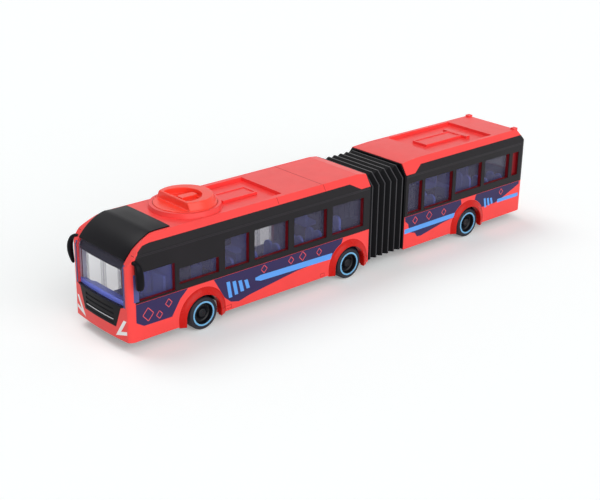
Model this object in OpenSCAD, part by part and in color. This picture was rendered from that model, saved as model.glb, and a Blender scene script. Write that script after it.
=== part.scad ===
// Toy articulated city bus: two hollow body sections joined by a bellows, with a
// steering knob on the roof, swinging doors on the right side and six wheels.
// +X points forward, +Y to the left side, +Z up, and the floor is at Z = 0.

/* [Body] */
// Length of the front section, from the nose to the bellows
front_length = 217.5; // [212:0.5:230]
// Length of the bellows between the two sections
bellows_length = 38.5; // [36:0.5:46]
// Length of the rear section, from the bellows to the tail
rear_length = 144; // [141:0.5:156]
// Width across the two sides
body_width = 65; // [63:0.5:72]
// Height of the lower edge of the skirt
skirt_z = 8; // [7:0.25:8.5]
// Height of the flat roof
roof_z = 78; // [77:0.5:82]
// Height of the fold above which the side leans inward
fold_z = 68.5; // [67:0.5:70]
// Inward run of the leaning panel between fold and roof
cant_run = 6; // [5:0.25:8]
// Thickness of the roof, nose and tail
wall = 2.2; // [1.8:0.1:2.6]
// Thickness of the side walls
side_wall = 3.4; // [3:0.1:4]
// Radius of the upright corners at the nose
nose_corner_r = 7; // [5:0.5:8]
// Radius of the upright corners at the tail
tail_corner_r = 6; // [4:0.5:8]
// Radius of the bow across the nose, seen from above
nose_bow_r = 260; // [200:10:400]
// Radius of the curve from the windscreen back to the roof
header_r = 37; // [34:1:44]
// Height at which the header starts to curve back
header_z = 57; // [55:0.5:60]
// Distance behind the nose at which the header meets the roof
header_run = 24; // [22:0.5:28]
// Radius of the lean at the top of the tail
tail_lean_r = 50; // [40:1:80]
// Height at which the tail starts to lean
tail_lean_z = 60; // [56:0.5:64]
// Distance ahead of the tail at which the lean meets the roof
tail_lean_run = 7.5; // [7:0.5:12]

/* [Trim] */
// Thickness of the black window bands
band_t = 0.6; // [0.4:0.1:0.9]
// Height of the lower edge of the window bands
band_z = 34.7; // [33.5:0.1:35.5]
// Height of the upper edge of the window bands on the leaning panel
band_top_z = 73.3; // [72:0.1:74.5]
// Length over which a band's upper edge drops to the fold at the bellows
band_dip = 9; // [6:0.5:12]
// Length of the low stretch of a band's upper edge at the bellows
band_low = 9.5; // [8:0.5:12]
// Length over which a band's front edge curves back to its upper edge
band_curve = 14; // [10:0.5:18]
// Thickness of the black roof cap and the grille
cap_t = 1; // [0.8:0.1:1.2]
// Length of the roof cap from the nose
cap_length = 41; // [38:0.5:44]
// Distance of the roof cap's sides from the edges of the roof
cap_margin = 2.5; // [1.5:0.25:4.5]
// Thickness of the clear panes
pane_t = 1; // [0.8:0.1:1.3]
// Gap between a pane and its neighbours
pane_gap = 0.1; // [0.05:0.05:0.2]

/* [Front end] */
// Width of the corner pillar beside the windscreen
pillar_w = 5.5; // [5:0.25:7.5]
// Height of the lower edge of the windscreen
screen_z = 32; // [31.5:0.25:33]
// Height of the upper edge of the windscreen
screen_top_z = 64; // [62:0.5:65]
// Height of the upper edge of the grille
grille_top_z = 31; // [29:0.5:31.25]
// Height of the lower edge of the grille
grille_z = 16; // [14:0.5:18]
// Distance of the grille's upper corners from the side of the body
grille_top_in = 8.5; // [7.5:0.25:10.5]
// Distance of the grille's lower corners from the side of the body
grille_in = 14.1; // [12.5:0.1:16.5]
// Number of slots in the grille
grille_slots = 4; // [2:1:5]
// Width of a running lamp's stroke
lamp_stroke = 2.4; // [1.8:0.1:2.8]

/* [Wheels] */
// Radius of the tyres
wheel_r = 11.8; // [11.5:0.1:12.2]
// Width of the tyres
wheel_w = 7; // [6:0.25:8]
// Distance of a tyre's outer face behind the side of the body
wheel_inset = 1.4; // [1:0.1:2]
// Distance of the front axle behind the nose
front_overhang = 62; // [60:0.5:63]
// Distance of the middle axle ahead of the end of the front section
middle_overhang = 19.5; // [19:0.25:20.5]
// Distance of the rear axle behind the start of the rear section
rear_axle_at = 75.4; // [74:0.2:77]
// Radius of the wheel arches
arch_r = 14.6; // [13.5:0.1:14.8]
// Distance of the arches' centres ahead of their axles
arch_lead = 1.2; // [0:0.1:1.2]
// Outer radius of the arch flares at the side of the body
flare_r = 19.8; // [18.6:0.2:19.8]
// Distance that the arch flares stand out from the side
flare_t = 2; // [1:0.1:2.6]
// Radius of the steel axles
axle_r = 1.5; // [1.2:0.1:1.8]
// Radius of the coloured ring on a wheel
ring_r = 9; // [8.5:0.1:9.5]
// Width of the coloured ring on a wheel
ring_w = 1.1; // [0.7:0.1:1.4]

/* [Steering] */
// Distance of the king pins from the inner faces of the front tyres
kingpin_in = 4.6; // [4.4:0.1:5.4]
// Length of a steering arm, which also sets the knob behind the front axle
steer_arm = 10; // [9.5:0.25:11]
// Throw of the crank under the knob's shaft
crank_throw = 5; // [4.5:0.25:5.5]
// Radius of the steering knob
knob_r = 22; // [20:0.5:23]
// Radius of the collar that the knob sits in
knob_ring_r = 24.5; // [24:0.25:25]
// Height of the collar above the roof
knob_ring_h = 3.2; // [2.2:0.2:4]
// Radius of the knob's shaft
knob_shaft_r = 3; // [2.5:0.25:3.5]
// Radius of the pins in the steering
steer_pin_r = 1; // [0.8:0.1:1.2]

/* [Doors] */
// Width of a doorway
door_w = 29; // [27:0.5:29.5]
// Height of the lower edge of a doorway
door_z = 12.5; // [12:0.25:13.5]
// Height of the upper edge of a doorway
door_top_z = 62.5; // [60:0.5:63.5]
// Thickness of a door leaf
leaf_t = 2; // [1.8:0.1:2.4]
// Width of the frame around a leaf's pane
leaf_frame = 1.8; // [1.5:0.1:2.5]
// Radius of a leaf's hinge pins
leaf_pin_r = 0.7; // [0.6:0.05:0.8]
// Gap around a leaf
leaf_gap = 0.35; // [0.3:0.05:0.5]

/* [Coupling and chassis] */
// Thickness of the chassis plates
chassis_t = 2; // [1.6:0.1:2.4]
// Radius of the pivot pin between the sections
pivot_r = 2.5; // [2:0.1:3]
// Half width of the coupling tongues
tongue_half = 7; // [6:0.5:8]
// Thickness of the cabin floors
floor_t = 1.2; // [1:0.1:1.6]
// Radius of the screw holes under the front section
screw_r = 1.5; // [1.25:0.05:1.75]
// Distance between the screw holes
screw_pitch = 60; // [50:1:64]
// Radial clearance of a pin that turns in a hole
run_gap = 0.06; // [0.04:0.01:0.08]
// Gap between flat faces that slide past each other
slide_gap = 0.3; // [0.2:0.05:0.35]
// Number of folds in the bellows
folds = 6; // [4:1:7]
// Depth of the folds
fold_depth = 3; // [2:0.25:3.5]

/* [Hidden] */
$fn = 64;

// Colours of the plastics
red = [0.86, 0.14, 0.12];
black = [0.09, 0.09, 0.1];
seat_blue = [0.28, 0.38, 0.78];
ring_blue = [0.4, 0.68, 0.88];
clear = [0.8, 0.78, 0.9, 0.4];
white = [0.95, 0.95, 0.95];
lamp_red = [0.75, 0.05, 0.05];
steel = [0.7, 0.7, 0.72];

// Places along the bus
body_length = front_length + bellows_length + rear_length;
nose_x = body_length / 2;
front_end_x = nose_x - front_length;
rear_start_x = front_end_x - bellows_length;
tail_x = -nose_x;
pivot_x = (front_end_x + rear_start_x) / 2;
front_axle_x = nose_x - front_overhang;
middle_axle_x = front_end_x + middle_overhang;
rear_axle_x = rear_start_x - rear_axle_at;
knob_x = front_axle_x - steer_arm;
half = body_width / 2;
side_in = half - side_wall;
roof_half = half - cant_run;
nose_cut_x = nose_x - nose_corner_r;
tail_cut_x = tail_x + tail_corner_r;
screen_half = half - pillar_w;
cap_half = roof_half - cap_margin;
grille_top_half = half - grille_top_in;
grille_half = half - grille_in;
kingpin_y = half - wheel_inset - wheel_w - kingpin_in;
// Depth by which a cutting shape stands out of what it cuts
over = 1;

// Heights of the floor and the running gear
axle_z = wheel_r;
chassis_z = axle_z + axle_r + slide_gap;
floor_z = chassis_z + chassis_t;
deck_z = floor_z + floor_t;
cant_angle = atan2(cant_run, roof_z - fold_z);

// Layout along each section: a head and a foot that keep their length, and a stretch
// between them that takes up a change of the section's length
front_head = 80;
front_stretch = 60;
front_foot = 77.5;
rear_head = 90;
rear_stretch = 35;
rear_foot = 19;

// Place of a layout distance d on a section of the given length
function placed(d, head, stretch, foot, length) =
  d <= head ? d
  : d >= head + stretch ? d - (head + stretch + foot) + length
  : head + (d - head) * (length - head - foot) / stretch;
function front_at(d) = placed(d, front_head, front_stretch, front_foot, front_length);
function rear_at(d) = placed(d, rear_head, rear_stretch, rear_foot, rear_length);

// Windows: layout distances of the fore and aft edges, sill and head height
front_windows = [
  [42.2, 75.3, 39, 50.3],
  [80.5, 101.6, 39, 61.3],
  [106.4, 137.3, 39, 61.3]
];
front_left_windows = [
  [10, 38.8, 36, 55.5],
  [142.7, 174.2, 39, 61.3],
  [179.8, 211.2, 39, 61.3]
];
front_right_windows = [[184.8, 211.2, 39, 61.3]];
rear_windows = [
  [3, 18.3, 36.5, 61.3],
  [57.3, 88.2, 40.5, 61.3],
  [92.3, 122.7, 40.5, 61.3]
];
rear_left_windows = [[21.4, 53.5, 36.5, 61.3]];
// The last opening on each side is a blind recess
tail_recess = [127, 134.5, 41, 60.8];
recess_depth = side_wall - 1;

// Doorways: distance of the fore edge behind the section's front end
front_door_at = 10;
middle_door_mark = 148;
middle_door_at = front_at(middle_door_mark);
rear_door_at = 21;
leaf_w = (door_w - 3 * leaf_gap) / 2;
leaf_inset = 0.2;
hinge_r = leaf_t / 2;
leaf_y = -half + leaf_inset + hinge_r;
hinge_pin_l = 2;
hinge_pin_gap = 0.3;

// Seats
seat_half = 8.5;
seat_wall_gap = 1;
seat_y = side_in - pane_t - seat_wall_gap - seat_half;
seat_h = 9;
housing_seat_h = 3;
seat_l = 9;
back_rise = 16;
back_t = 2.2;
seat_pitch = 21;
rear_seat_pitch = 18;

// Rows of seats from one place at a pitch, as many as end before another place
function seat_rows(first, last, pitch) =
  [for (d = first; d + seat_l + back_t <= last; d = d + pitch) d];

// Seats: distance behind the section's front end, side (1 left, -1 right), turned round,
// on a wheel housing
front_row_at = 82;
single_rows_at = [146, 164];
housing_row_at = 203;
front_rows = seat_rows(front_row_at, front_at(front_head + front_stretch), seat_pitch);
front_seats_at = [
  for (d = front_rows, side = [-1, 1]) [d, side, 0, 0],
  for (d = single_rows_at) [front_at(d), 1, 0, 0],
  for (side = [-1, 1]) [front_at(housing_row_at), side, 1, 1]
];
rear_single_at = 30;
rear_housing_row_at = 72;
rear_row_at = 94;
rear_rows = seat_rows(rear_row_at, rear_at(rear_head + rear_stretch), rear_seat_pitch);
rear_seats_at = [
  [rear_single_at, 1, 0, 0],
  for (side = [-1, 1]) [rear_housing_row_at, side, 0, 1],
  for (d = rear_rows, side = [-1, 1]) [d, side, 0, 0]
];

// Wheel housings inside the cabins
king_head_r = axle_r + 1;
well_half = arch_r + 2.2;
well_y = kingpin_y - king_head_r - slide_gap;
plain_well_half = arch_r + 0.7;
plain_well_y = half - wheel_inset - wheel_w - 4.1;
well_top_z = axle_z + arch_r + 2;

// Centre of an arc of radius r through p and q, on the far side of the line
// from a point that lies to the left of the way from p to q
function arc_centre(p, q, r) =
  let(mid = (p + q) / 2, d = q - p, l = norm(d))
  mid + [-d[1], d[0]] / l * sqrt(r * r - l * l / 4);

// Cross section of the body, inset from the outside, from base upward
module section_shape(inset, base) {
  corner_y = roof_half - inset * tan((90 - cant_angle) / 2);
  fold_in_z = fold_z - inset * tan(cant_angle / 2);
  polygon([
    [-half + inset, base], [half - inset, base],
    [half - inset, fold_in_z], [corner_y, roof_z - inset],
    [-corner_y, roof_z - inset], [-half + inset, fold_in_z]
  ]);
}

// Outline from above with two rounded corners at the end in +X
module end_plan(end_x, corner_r, inset, start_x) {
  y = half - inset;
  r = corner_r - inset;
  x = end_x - inset;
  translate([start_x, -y]) square([x - r - start_x, 2 * y]);
  translate([start_x, -y + r]) square([x - start_x, 2 * (y - r)]);
  for (s = [-1, 1]) translate([x - r, s * (y - r)]) circle(r);
}

// Side outline whose end in +X curves back to the roof
module end_profile(end_x, curve_z, run, r, inset, start_x) {
  centre = arc_centre([end_x, curve_z], [end_x - run, roof_z], r);
  translate([start_x, 0]) square([end_x - inset - start_x, curve_z]);
  intersection() {
    translate([start_x, 0]) square([end_x - inset - start_x, roof_z - inset]);
    union() {
      translate(centre) circle(r - inset, $fn = 180);
      translate([start_x, 0]) square([centre[0] - start_x, roof_z]);
    }
  }
}

// Solid inside the front section's outer surface, moved in by inset
module front_solid(inset, base = skirt_z) {
  intersection() {
    translate([front_end_x - 1, 0, 0]) rotate([90, 0, 90])
      linear_extrude(front_length + 2) section_shape(inset, base);
    linear_extrude(roof_z + 1) intersection() {
      end_plan(nose_x, nose_corner_r, inset, front_end_x);
      translate([nose_x - nose_bow_r, 0]) circle(nose_bow_r - inset, $fn = 360);
    }
    rotate([90, 0, 0]) linear_extrude(body_width + 2, center = true)
      end_profile(nose_x, header_z, header_run, header_r, inset, front_end_x);
  }
}

// Solid inside the rear section's outer surface, moved in by inset
module rear_solid(inset, base = skirt_z) {
  mirror([1, 0, 0]) intersection() {
    translate([-rear_start_x - 1, 0, 0]) rotate([90, 0, 90])
      linear_extrude(rear_length + 2) section_shape(inset, base);
    linear_extrude(roof_z + 1) end_plan(-tail_x, tail_corner_r, inset, -rear_start_x);
    rotate([90, 0, 0]) linear_extrude(body_width + 2, center = true)
      end_profile(-tail_x, tail_lean_z, tail_lean_run, tail_lean_r, inset, -rear_start_x);
  }
}

// Block between two places along the bus, as wide and tall as needed
module slab(x0, x1, z0 = -1, z1 = roof_z + 20, y0 = -half - 10, y1 = half + 10) {
  translate([x0, y0, z0]) cube([x1 - x0, y1 - y0, z1 - z0]);
}

// Opening through one side wall, from layout place d0 to d1 and between two heights
module window_cut(start_x, d0, d1, z0, z1, side, depth) {
  slab(start_x - d1, start_x - d0, z0, z1,
       side > 0 ? half - depth : -half - over, side > 0 ? half + over : depth - half);
}

// Openings of a section's windows on one side
module front_cuts(rows, side) {
  for (row = rows) window_cut(nose_x, front_at(row[0]), front_at(row[1]), row[2], row[3],
                              side, side_wall + over);
}

module rear_cuts(rows, side) {
  for (row = rows) window_cut(rear_start_x, rear_at(row[0]), rear_at(row[1]), row[2], row[3],
                              side, side_wall + over);
}

module recess_cut(side) {
  window_cut(rear_start_x, rear_at(tail_recess[0]), rear_at(tail_recess[1]),
             tail_recess[2], tail_recess[3], side, recess_depth);
}

// Wheel arch through one side wall, at the axle in x
module arch_cut(axle_x, side) {
  x = axle_x + arch_lead;
  translate([x, side * (side_in - 1), axle_z]) rotate([-side * 90, 0, 0])
    cylinder(h = side_wall + flare_t + 2, r = arch_r);
  slab(x - arch_r, x + arch_r, -1, axle_z,
       side > 0 ? side_in - 1 : -half - flare_t - 1,
       side > 0 ? half + flare_t + 1 : -side_in + 1);
}

// Raised flare around a wheel arch: width of its outer face and drop below the skirt
flare_lip = 1;
flare_drop = 1;

module flare(axle_x, side) {
  x = axle_x + arch_lead;
  lip_r = arch_r + flare_lip;
  intersection() {
    translate([x, side * half, axle_z]) rotate([-side * 90, 0, 0])
      rotate_extrude() polygon([
        [arch_r - over, -side_wall / 2], [flare_r, -side_wall / 2], [flare_r, 0],
        [lip_r, flare_t], [arch_r - over, flare_t]
      ]);
    slab(x - flare_r - over, x + flare_r + over, skirt_z - flare_drop);
  }
}

// Doorway through the right side wall, with the holes of its hinge pins
module doorway_cut(at, start_x) {
  x1 = start_x - at;
  slab(x1 - door_w, x1, door_z, door_top_z, -half - 1, -side_in + 1);
  for (x = [x1 - leaf_gap - hinge_r, x1 - door_w + leaf_gap + hinge_r])
    translate([x, leaf_y, door_z - hinge_pin_l - hinge_pin_gap])
      cylinder(h = door_top_z - door_z + 2 * (hinge_pin_l + hinge_pin_gap),
               r = leaf_pin_r + run_gap);
}

// Outline of the front bands seen from the side: the front curve, from the pillar up
band_turn_z = fold_z - 0.3 * band_curve;
band_rise = band_top_z - fold_z;
front_band_curve = [
  [nose_cut_x, band_turn_z],
  [nose_cut_x - 0.25 * band_curve, fold_z + 0.3 * band_rise],
  [nose_cut_x - 0.6 * band_curve, fold_z + 0.85 * band_rise],
  [nose_cut_x - band_curve, band_top_z]
];
// and the dip towards the bellows, from the top down
front_band_dip = [
  [front_end_x + band_low + band_dip, band_top_z],
  [front_end_x + band_low, fold_z]
];
rear_band_dip = [
  [rear_start_x - band_low - band_dip, band_top_z],
  [rear_start_x - band_low, fold_z]
];

module front_band_shape() {
  polygon([
    [front_end_x, band_z], [nose_cut_x, band_z],
    each front_band_curve, each front_band_dip, [front_end_x, fold_z]
  ]);
}

// Pocket of a front band in the wall below the fold, and in the roof above it
module front_wall_pocket_shape() {
  polygon([
    [front_end_x - over, band_z], [nose_cut_x + over, band_z],
    [nose_cut_x + over, band_turn_z], front_band_curve[0], front_band_curve[1],
    [front_end_x - over, front_band_curve[1][1]]
  ]);
}

module front_roof_pocket_shape() {
  polygon([
    [front_end_x + band_low, band_turn_z],
    each front_band_curve, each front_band_dip
  ]);
}

// Outline of the rear band seen from the side; it runs round the tail
module rear_band_shape() {
  polygon([
    [rear_start_x, band_z], [tail_x - over, band_z], [tail_x - over, band_top_z],
    each rear_band_dip, [rear_start_x, fold_z]
  ]);
}

module rear_wall_pocket_shape() {
  polygon([
    [rear_start_x + over, band_z], [tail_x - over, band_z],
    [tail_x - over, fold_z + over], [rear_start_x + over, fold_z + over]
  ]);
}

module rear_roof_pocket_shape() {
  polygon([
    [rear_start_x - band_low, band_z], [tail_x - over, band_z], [tail_x - over, band_top_z],
    each rear_band_dip
  ]);
}

// Shape seen from the side, pushed through the whole width
module through_sides() {
  rotate([90, 0, 0]) linear_extrude(body_width + 4 * over, center = true) children();
}

// Shape seen from the front, pushed through the nose or the tail
module through_end(x0, x1) {
  translate([x0, 0, 0]) rotate([90, 0, 90]) linear_extrude(x1 - x0) children();
}

// Outer layer of the front section
module front_layer(t, inset = 0) {
  difference() {
    front_solid(inset);
    front_solid(inset + t, skirt_z - over);
  }
}

// Outer layer of the rear section
module rear_layer(t, inset = 0) {
  difference() {
    rear_solid(inset);
    rear_solid(inset + t, skirt_z - over);
  }
}

// Pocket of depth t in the outside of a section, as far as its outline reaches
module front_pocket(t) {
  intersection() {
    difference() {
      slab(front_end_x - 2 * over, nose_x + over);
      front_solid(t, -2 * over);
    }
    children();
  }
}

module rear_pocket(t) {
  intersection() {
    difference() {
      slab(tail_x - over, rear_start_x + 2 * over);
      rear_solid(t, -2 * over);
    }
    children();
  }
}

module front_band_layer() {
  intersection() {
    front_layer(band_t);
    through_sides() front_band_shape();
  }
}

module rear_band_layer() {
  intersection() {
    rear_layer(band_t);
    through_sides() rear_band_shape();
  }
}

// Front end outlines, seen from the front
module screen_shape(gap = 0) {
  translate([-screen_half + gap, screen_z + gap])
    square([2 * (screen_half - gap), screen_top_z - screen_z - 2 * gap]);
}

module grille_shape() {
  polygon([
    [-grille_top_half, grille_top_z], [grille_top_half, grille_top_z],
    [grille_half, grille_z], [-grille_half, grille_z]
  ]);
}

// Inner corner, upper end and outer foot of a running lamp
lamp_corner = [half - 14.5, 10];
lamp_top = [half - 6.1, 23];
lamp_foot = [half - 3.1, 13.2];

// Crossing of two lines, each given by a point and a direction
function crossing(p, u, q, v) = p + u * cross(q - p, v) / cross(u, v);

module lamp_shape() {
  along = lamp_top - lamp_corner;
  foot = lamp_foot - lamp_corner;
  across = [lamp_stroke * norm(along) / along[1], 0];
  rise = [0, lamp_stroke * norm(foot) / foot[0]];
  for (s = [0, 1]) mirror([s, 0]) polygon([
    lamp_corner, lamp_foot, lamp_foot + rise,
    crossing(lamp_top + across, along, lamp_foot + rise, foot),
    lamp_top + across, lamp_top
  ]);
}

// Roof cap seen from above; it narrows from the windscreen to its waist
cap_waist = header_run - 4;

module cap_shape() {
  polygon([
    [nose_x + over, -screen_half], [nose_x + over, screen_half],
    [nose_cut_x, screen_half],
    [nose_x - cap_waist, cap_half], [nose_x - cap_length, cap_half],
    [nose_x - cap_length, -cap_half], [nose_x - cap_waist, -cap_half],
    [nose_cut_x, -screen_half]
  ]);
}

module cap_layer() {
  intersection() {
    front_layer(cap_t);
    translate([0, 0, screen_top_z]) linear_extrude(roof_z) cap_shape();
  }
}

module cap_pocket() {
  front_pocket(cap_t) translate([0, 0, screen_top_z]) linear_extrude(roof_z) cap_shape();
}

// Front section

module front_nose() {
  color(red) difference() {
    intersection() {
      front_layer(wall);
      union() {
        slab(nose_cut_x, nose_x + over);
        slab(nose_x - header_run, nose_cut_x + over, screen_top_z, fold_z, -side_in, side_in);
      }
    }
    through_end(nose_cut_x - over, nose_x + over) screen_shape();
    front_pocket(cap_t) through_end(nose_cut_x - over, nose_x + over) {
      grille_shape();
      lamp_shape();
    }
    cap_pocket();
  }
}

// Side wall of the front section without its doors
module front_side(side) {
  difference() {
    union() {
      intersection() {
        front_solid(0);
        slab(front_end_x, nose_cut_x, skirt_z, fold_z,
             side > 0 ? side_in : -half - 1, side > 0 ? half + 1 : -side_in);
      }
      for (x = [front_axle_x, middle_axle_x]) flare(x, side);
    }
    for (x = [front_axle_x, middle_axle_x]) arch_cut(x, side);
    front_cuts(front_windows, side);
    front_pocket(band_t) through_sides() front_wall_pocket_shape();
  }
}

module front_side_left() {
  color(red) difference() {
    front_side(1);
    front_cuts(front_left_windows, 1);
  }
}

module front_side_right() {
  color(red) difference() {
    front_side(-1);
    front_cuts(front_right_windows, -1);
    doorway_cut(front_door_at, nose_x);
    doorway_cut(middle_door_at, nose_x);
  }
}

// Wedge that lowers the roof towards the bellows, for an end at x with its body in way
module roof_slope(x, way, run, drop) {
  through_sides() polygon([
    [x - way, roof_z - drop], [x, roof_z - drop], [x + way * run, roof_z],
    [x + way * run, roof_z + 1], [x - way, roof_z + 1]
  ]);
}

// Sunken panels: depth, layout distances of their ends, and the room that they leave to
// the edges of the roof
pan_depth = 2.6;
front_pan_at = [89, 139.4];
front_pan_margin = 4;
rear_pan_at = [36, 108.3];
rear_pan_margin = 3;

// Hatches on the panels: height, width, rim round a shallow tray, and distances of a hatch's
// fore and aft end inside its panel
hatch_h = 2;
hatch_half = 7.5;
hatch_rim = 1.3;
tray_depth = 0.6;
front_hatch_in = [10, 10];
rear_hatch_in = [12, 18];
// Cross bar behind the rear hatch: length, width to each side and height
bar_size = [4, 12.5, 2.2];
front_pan_x = [nose_x - front_at(front_pan_at[1]), nose_x - front_at(front_pan_at[0])];
front_pan_half = roof_half - front_pan_margin;
rear_pan_x = [rear_start_x - rear_at(rear_pan_at[1]), rear_start_x - rear_at(rear_pan_at[0])];
rear_pan_half = roof_half - rear_pan_margin;

// Opening of a sunken panel in a roof
module pan_cut(ends, y) {
  slab(ends[0], ends[1], roof_z - wall - over, roof_z + over, -y, y);
}

// Sunken panel under its opening, with a raised hatch on it
pan_z = roof_z - pan_depth;

module roof_pan(ends, y, hatch_in) {
  fore_x = ends[1] - hatch_in[0];
  aft_x = ends[0] + hatch_in[1];
  tray_half = hatch_half - hatch_rim;
  difference() {
    slab(ends[0] - wall, ends[1] + wall, pan_z - wall, roof_z - wall / 2, -y - wall, y + wall);
    slab(ends[0], ends[1], pan_z, roof_z, -y, y);
  }
  difference() {
    slab(aft_x, fore_x, pan_z - wall / 2, pan_z + hatch_h, -hatch_half, hatch_half);
    slab(aft_x + hatch_rim, fore_x - hatch_rim, pan_z + hatch_h - tray_depth,
         pan_z + hatch_h + over, -tray_half, tray_half);
  }
}

// Bar across the rear hatch's aft end
module hatch_bar() {
  aft_x = rear_pan_x[0] + rear_hatch_in[1];
  slab(aft_x - bar_size[0], aft_x + hatch_rim / 2, pan_z - wall / 2, pan_z + bar_size[2],
       -bar_size[1], bar_size[1]);
}

// Fall of the roof towards the bellows
slope_drop = 1.2;
front_slope_run = 8;
rear_slope_run = 16;

// Collar of the knob: its foot spreads on the roof, and the knob turns in its hollow
collar_spread = 0.9;
collar_hollow = 1.4;
collar_gap = 0.35;
collar_z = roof_z + knob_ring_h;

module front_roof() {
  color(red) difference() {
    union() {
      difference() {
        intersection() {
          front_layer(wall);
          slab(front_end_x, nose_cut_x, fold_z);
        }
        pan_cut(front_pan_x, front_pan_half);
      }
      roof_pan(front_pan_x, front_pan_half, front_hatch_in);
      translate([knob_x, 0, roof_z])
        cylinder(h = knob_ring_h, r1 = knob_ring_r + collar_spread, r2 = knob_ring_r, $fn = 96);
      translate([knob_x, 0, roof_z - pan_depth - wall / 2])
        cylinder(h = pan_depth + wall, r = knob_ring_r, $fn = 96);
    }
    translate([knob_x, 0, collar_z - collar_hollow])
      cylinder(h = collar_hollow + over, r = knob_r + collar_gap, $fn = 96);
    translate([knob_x, 0, roof_z - pan_depth - 2 * wall])
      cylinder(h = pan_depth + 2 * wall + knob_ring_h, r = knob_shaft_r + run_gap);
    roof_slope(front_end_x, 1, front_slope_run, slope_drop);
    front_pocket(band_t) through_sides() front_roof_pocket_shape();
    cap_pocket();
  }
}

module front_bands() {
  color(black) difference() {
    front_band_layer();
    for (s = [-1, 1]) front_cuts(front_windows, s);
    front_cuts(front_left_windows, 1);
    front_cuts(front_right_windows, -1);
    doorway_cut(front_door_at, nose_x);
    doorway_cut(middle_door_at, nose_x);
  }
}

module roof_cap() {
  color(black) cap_layer();
}

module windscreen() {
  color(clear) intersection() {
    front_layer(wall - 0.6, 0.3);
    through_end(nose_cut_x, nose_x + 1) screen_shape(pane_gap);
  }
}

module sign_board() {
  color(black) intersection() {
    front_layer(1, wall + pane_gap);
    through_end(nose_cut_x - 2, nose_x + 1) translate([-screen_half + 1, header_z])
      square([2 * screen_half - 2, screen_top_z + 1 - header_z]);
  }
}

module grille() {
  slot_h = (grille_top_z - grille_z) / (2 * grille_slots + 1);
  color(black) difference() {
    intersection() {
      front_layer(cap_t);
      through_end(nose_cut_x, nose_x + 1) grille_shape();
    }
    intersection() {
      front_layer(cap_t / 2);
      through_end(nose_cut_x, nose_x + 1) for (k = [0 : grille_slots - 1])
        translate([-grille_half + 2, grille_z + (2 * k + 1) * slot_h])
          square([2 * grille_half - 4, slot_h]);
    }
  }
}

module running_lamps() {
  color(white) intersection() {
    front_layer(cap_t);
    through_end(nose_cut_x, nose_x + 1) lamp_shape();
  }
}

// Clear strip behind one side's windows, between two places, clear of the doorways
module pane_strip(x0, x1, side) {
  y0 = side > 0 ? side_in - pane_t : -side_in;
  translate([x0, y0, pane_z]) cube([x1 - x0, pane_t, pane_top_z - pane_z]);
}

pane_z = band_z;
pane_top_z = door_top_z + 1;

module front_side_panes() {
  door_x = nose_x - middle_door_at;
  color(clear) {
    pane_strip(front_end_x + 2, nose_cut_x - 2, 1);
    pane_strip(door_x + 2, nose_x - front_door_at - door_w - 2, -1);
    pane_strip(front_end_x + 2, door_x - door_w - 2, -1);
  }
}

// Room for the wheels of one axle in a chassis plate and a floor
module well_cuts(x, z0, z1, inner_y, half_l) {
  for (s = [-1, 1])
    slab(x - half_l, x + half_l, z0, z1, s > 0 ? inner_y : -half, s > 0 ? half : -inner_y);
}

// Plan of a section's floor, inside its walls
module front_floor_plan() {
  intersection() {
    front_solid(wall + pane_gap, skirt_z - 1);
    slab(front_end_x, nose_x, chassis_z, deck_z, -side_in + pane_gap, side_in - pane_gap);
  }
}

module rear_floor_plan() {
  intersection() {
    rear_solid(wall + pane_gap, skirt_z - 1);
    slab(tail_x, rear_start_x, chassis_z, deck_z, -side_in + pane_gap, side_in - pane_gap);
  }
}

// Pair of bearing blocks for a fixed axle
bearing_l = 4;
bearing_half = 3.2;
bearing_y = 14;

module bearings(x) {
  for (s = [-1, 1])
    slab(x - bearing_half, x + bearing_half, axle_z - bearing_half, chassis_z + chassis_t / 2,
         s * bearing_y - bearing_l / 2, s * bearing_y + bearing_l / 2);
}

module axle_hole(x) {
  translate([x, 0, axle_z]) rotate([90, 0, 0])
    cylinder(h = body_width, r = axle_r + run_gap, center = true);
}

// Heights of the coupling: the front tongue lies under the rear one
front_tongue_top = chassis_z - slide_gap;
front_tongue_z = front_tongue_top - chassis_t;
tongue_root = 7;
screw_boss_r = 4;
screw_boss_h = 4;
screw_depth = 5;
screw_at = 30;
screw_x = front_axle_x - screw_at - screw_pitch / 2;

// Brackets that carry the king pins into the wheel wells
bracket_r = 3.6;

module king_brackets() {
  for (s = [-1, 1]) translate([front_axle_x, s * kingpin_y, chassis_z - 2 * over]) {
    cylinder(h = chassis_t + 4 * over, r = bracket_r);
    translate([-bracket_r, s > 0 ? well_y - kingpin_y - over : 0, 0])
      cube([2 * bracket_r, kingpin_y - well_y + over, chassis_t + 4 * over]);
  }
}

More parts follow.
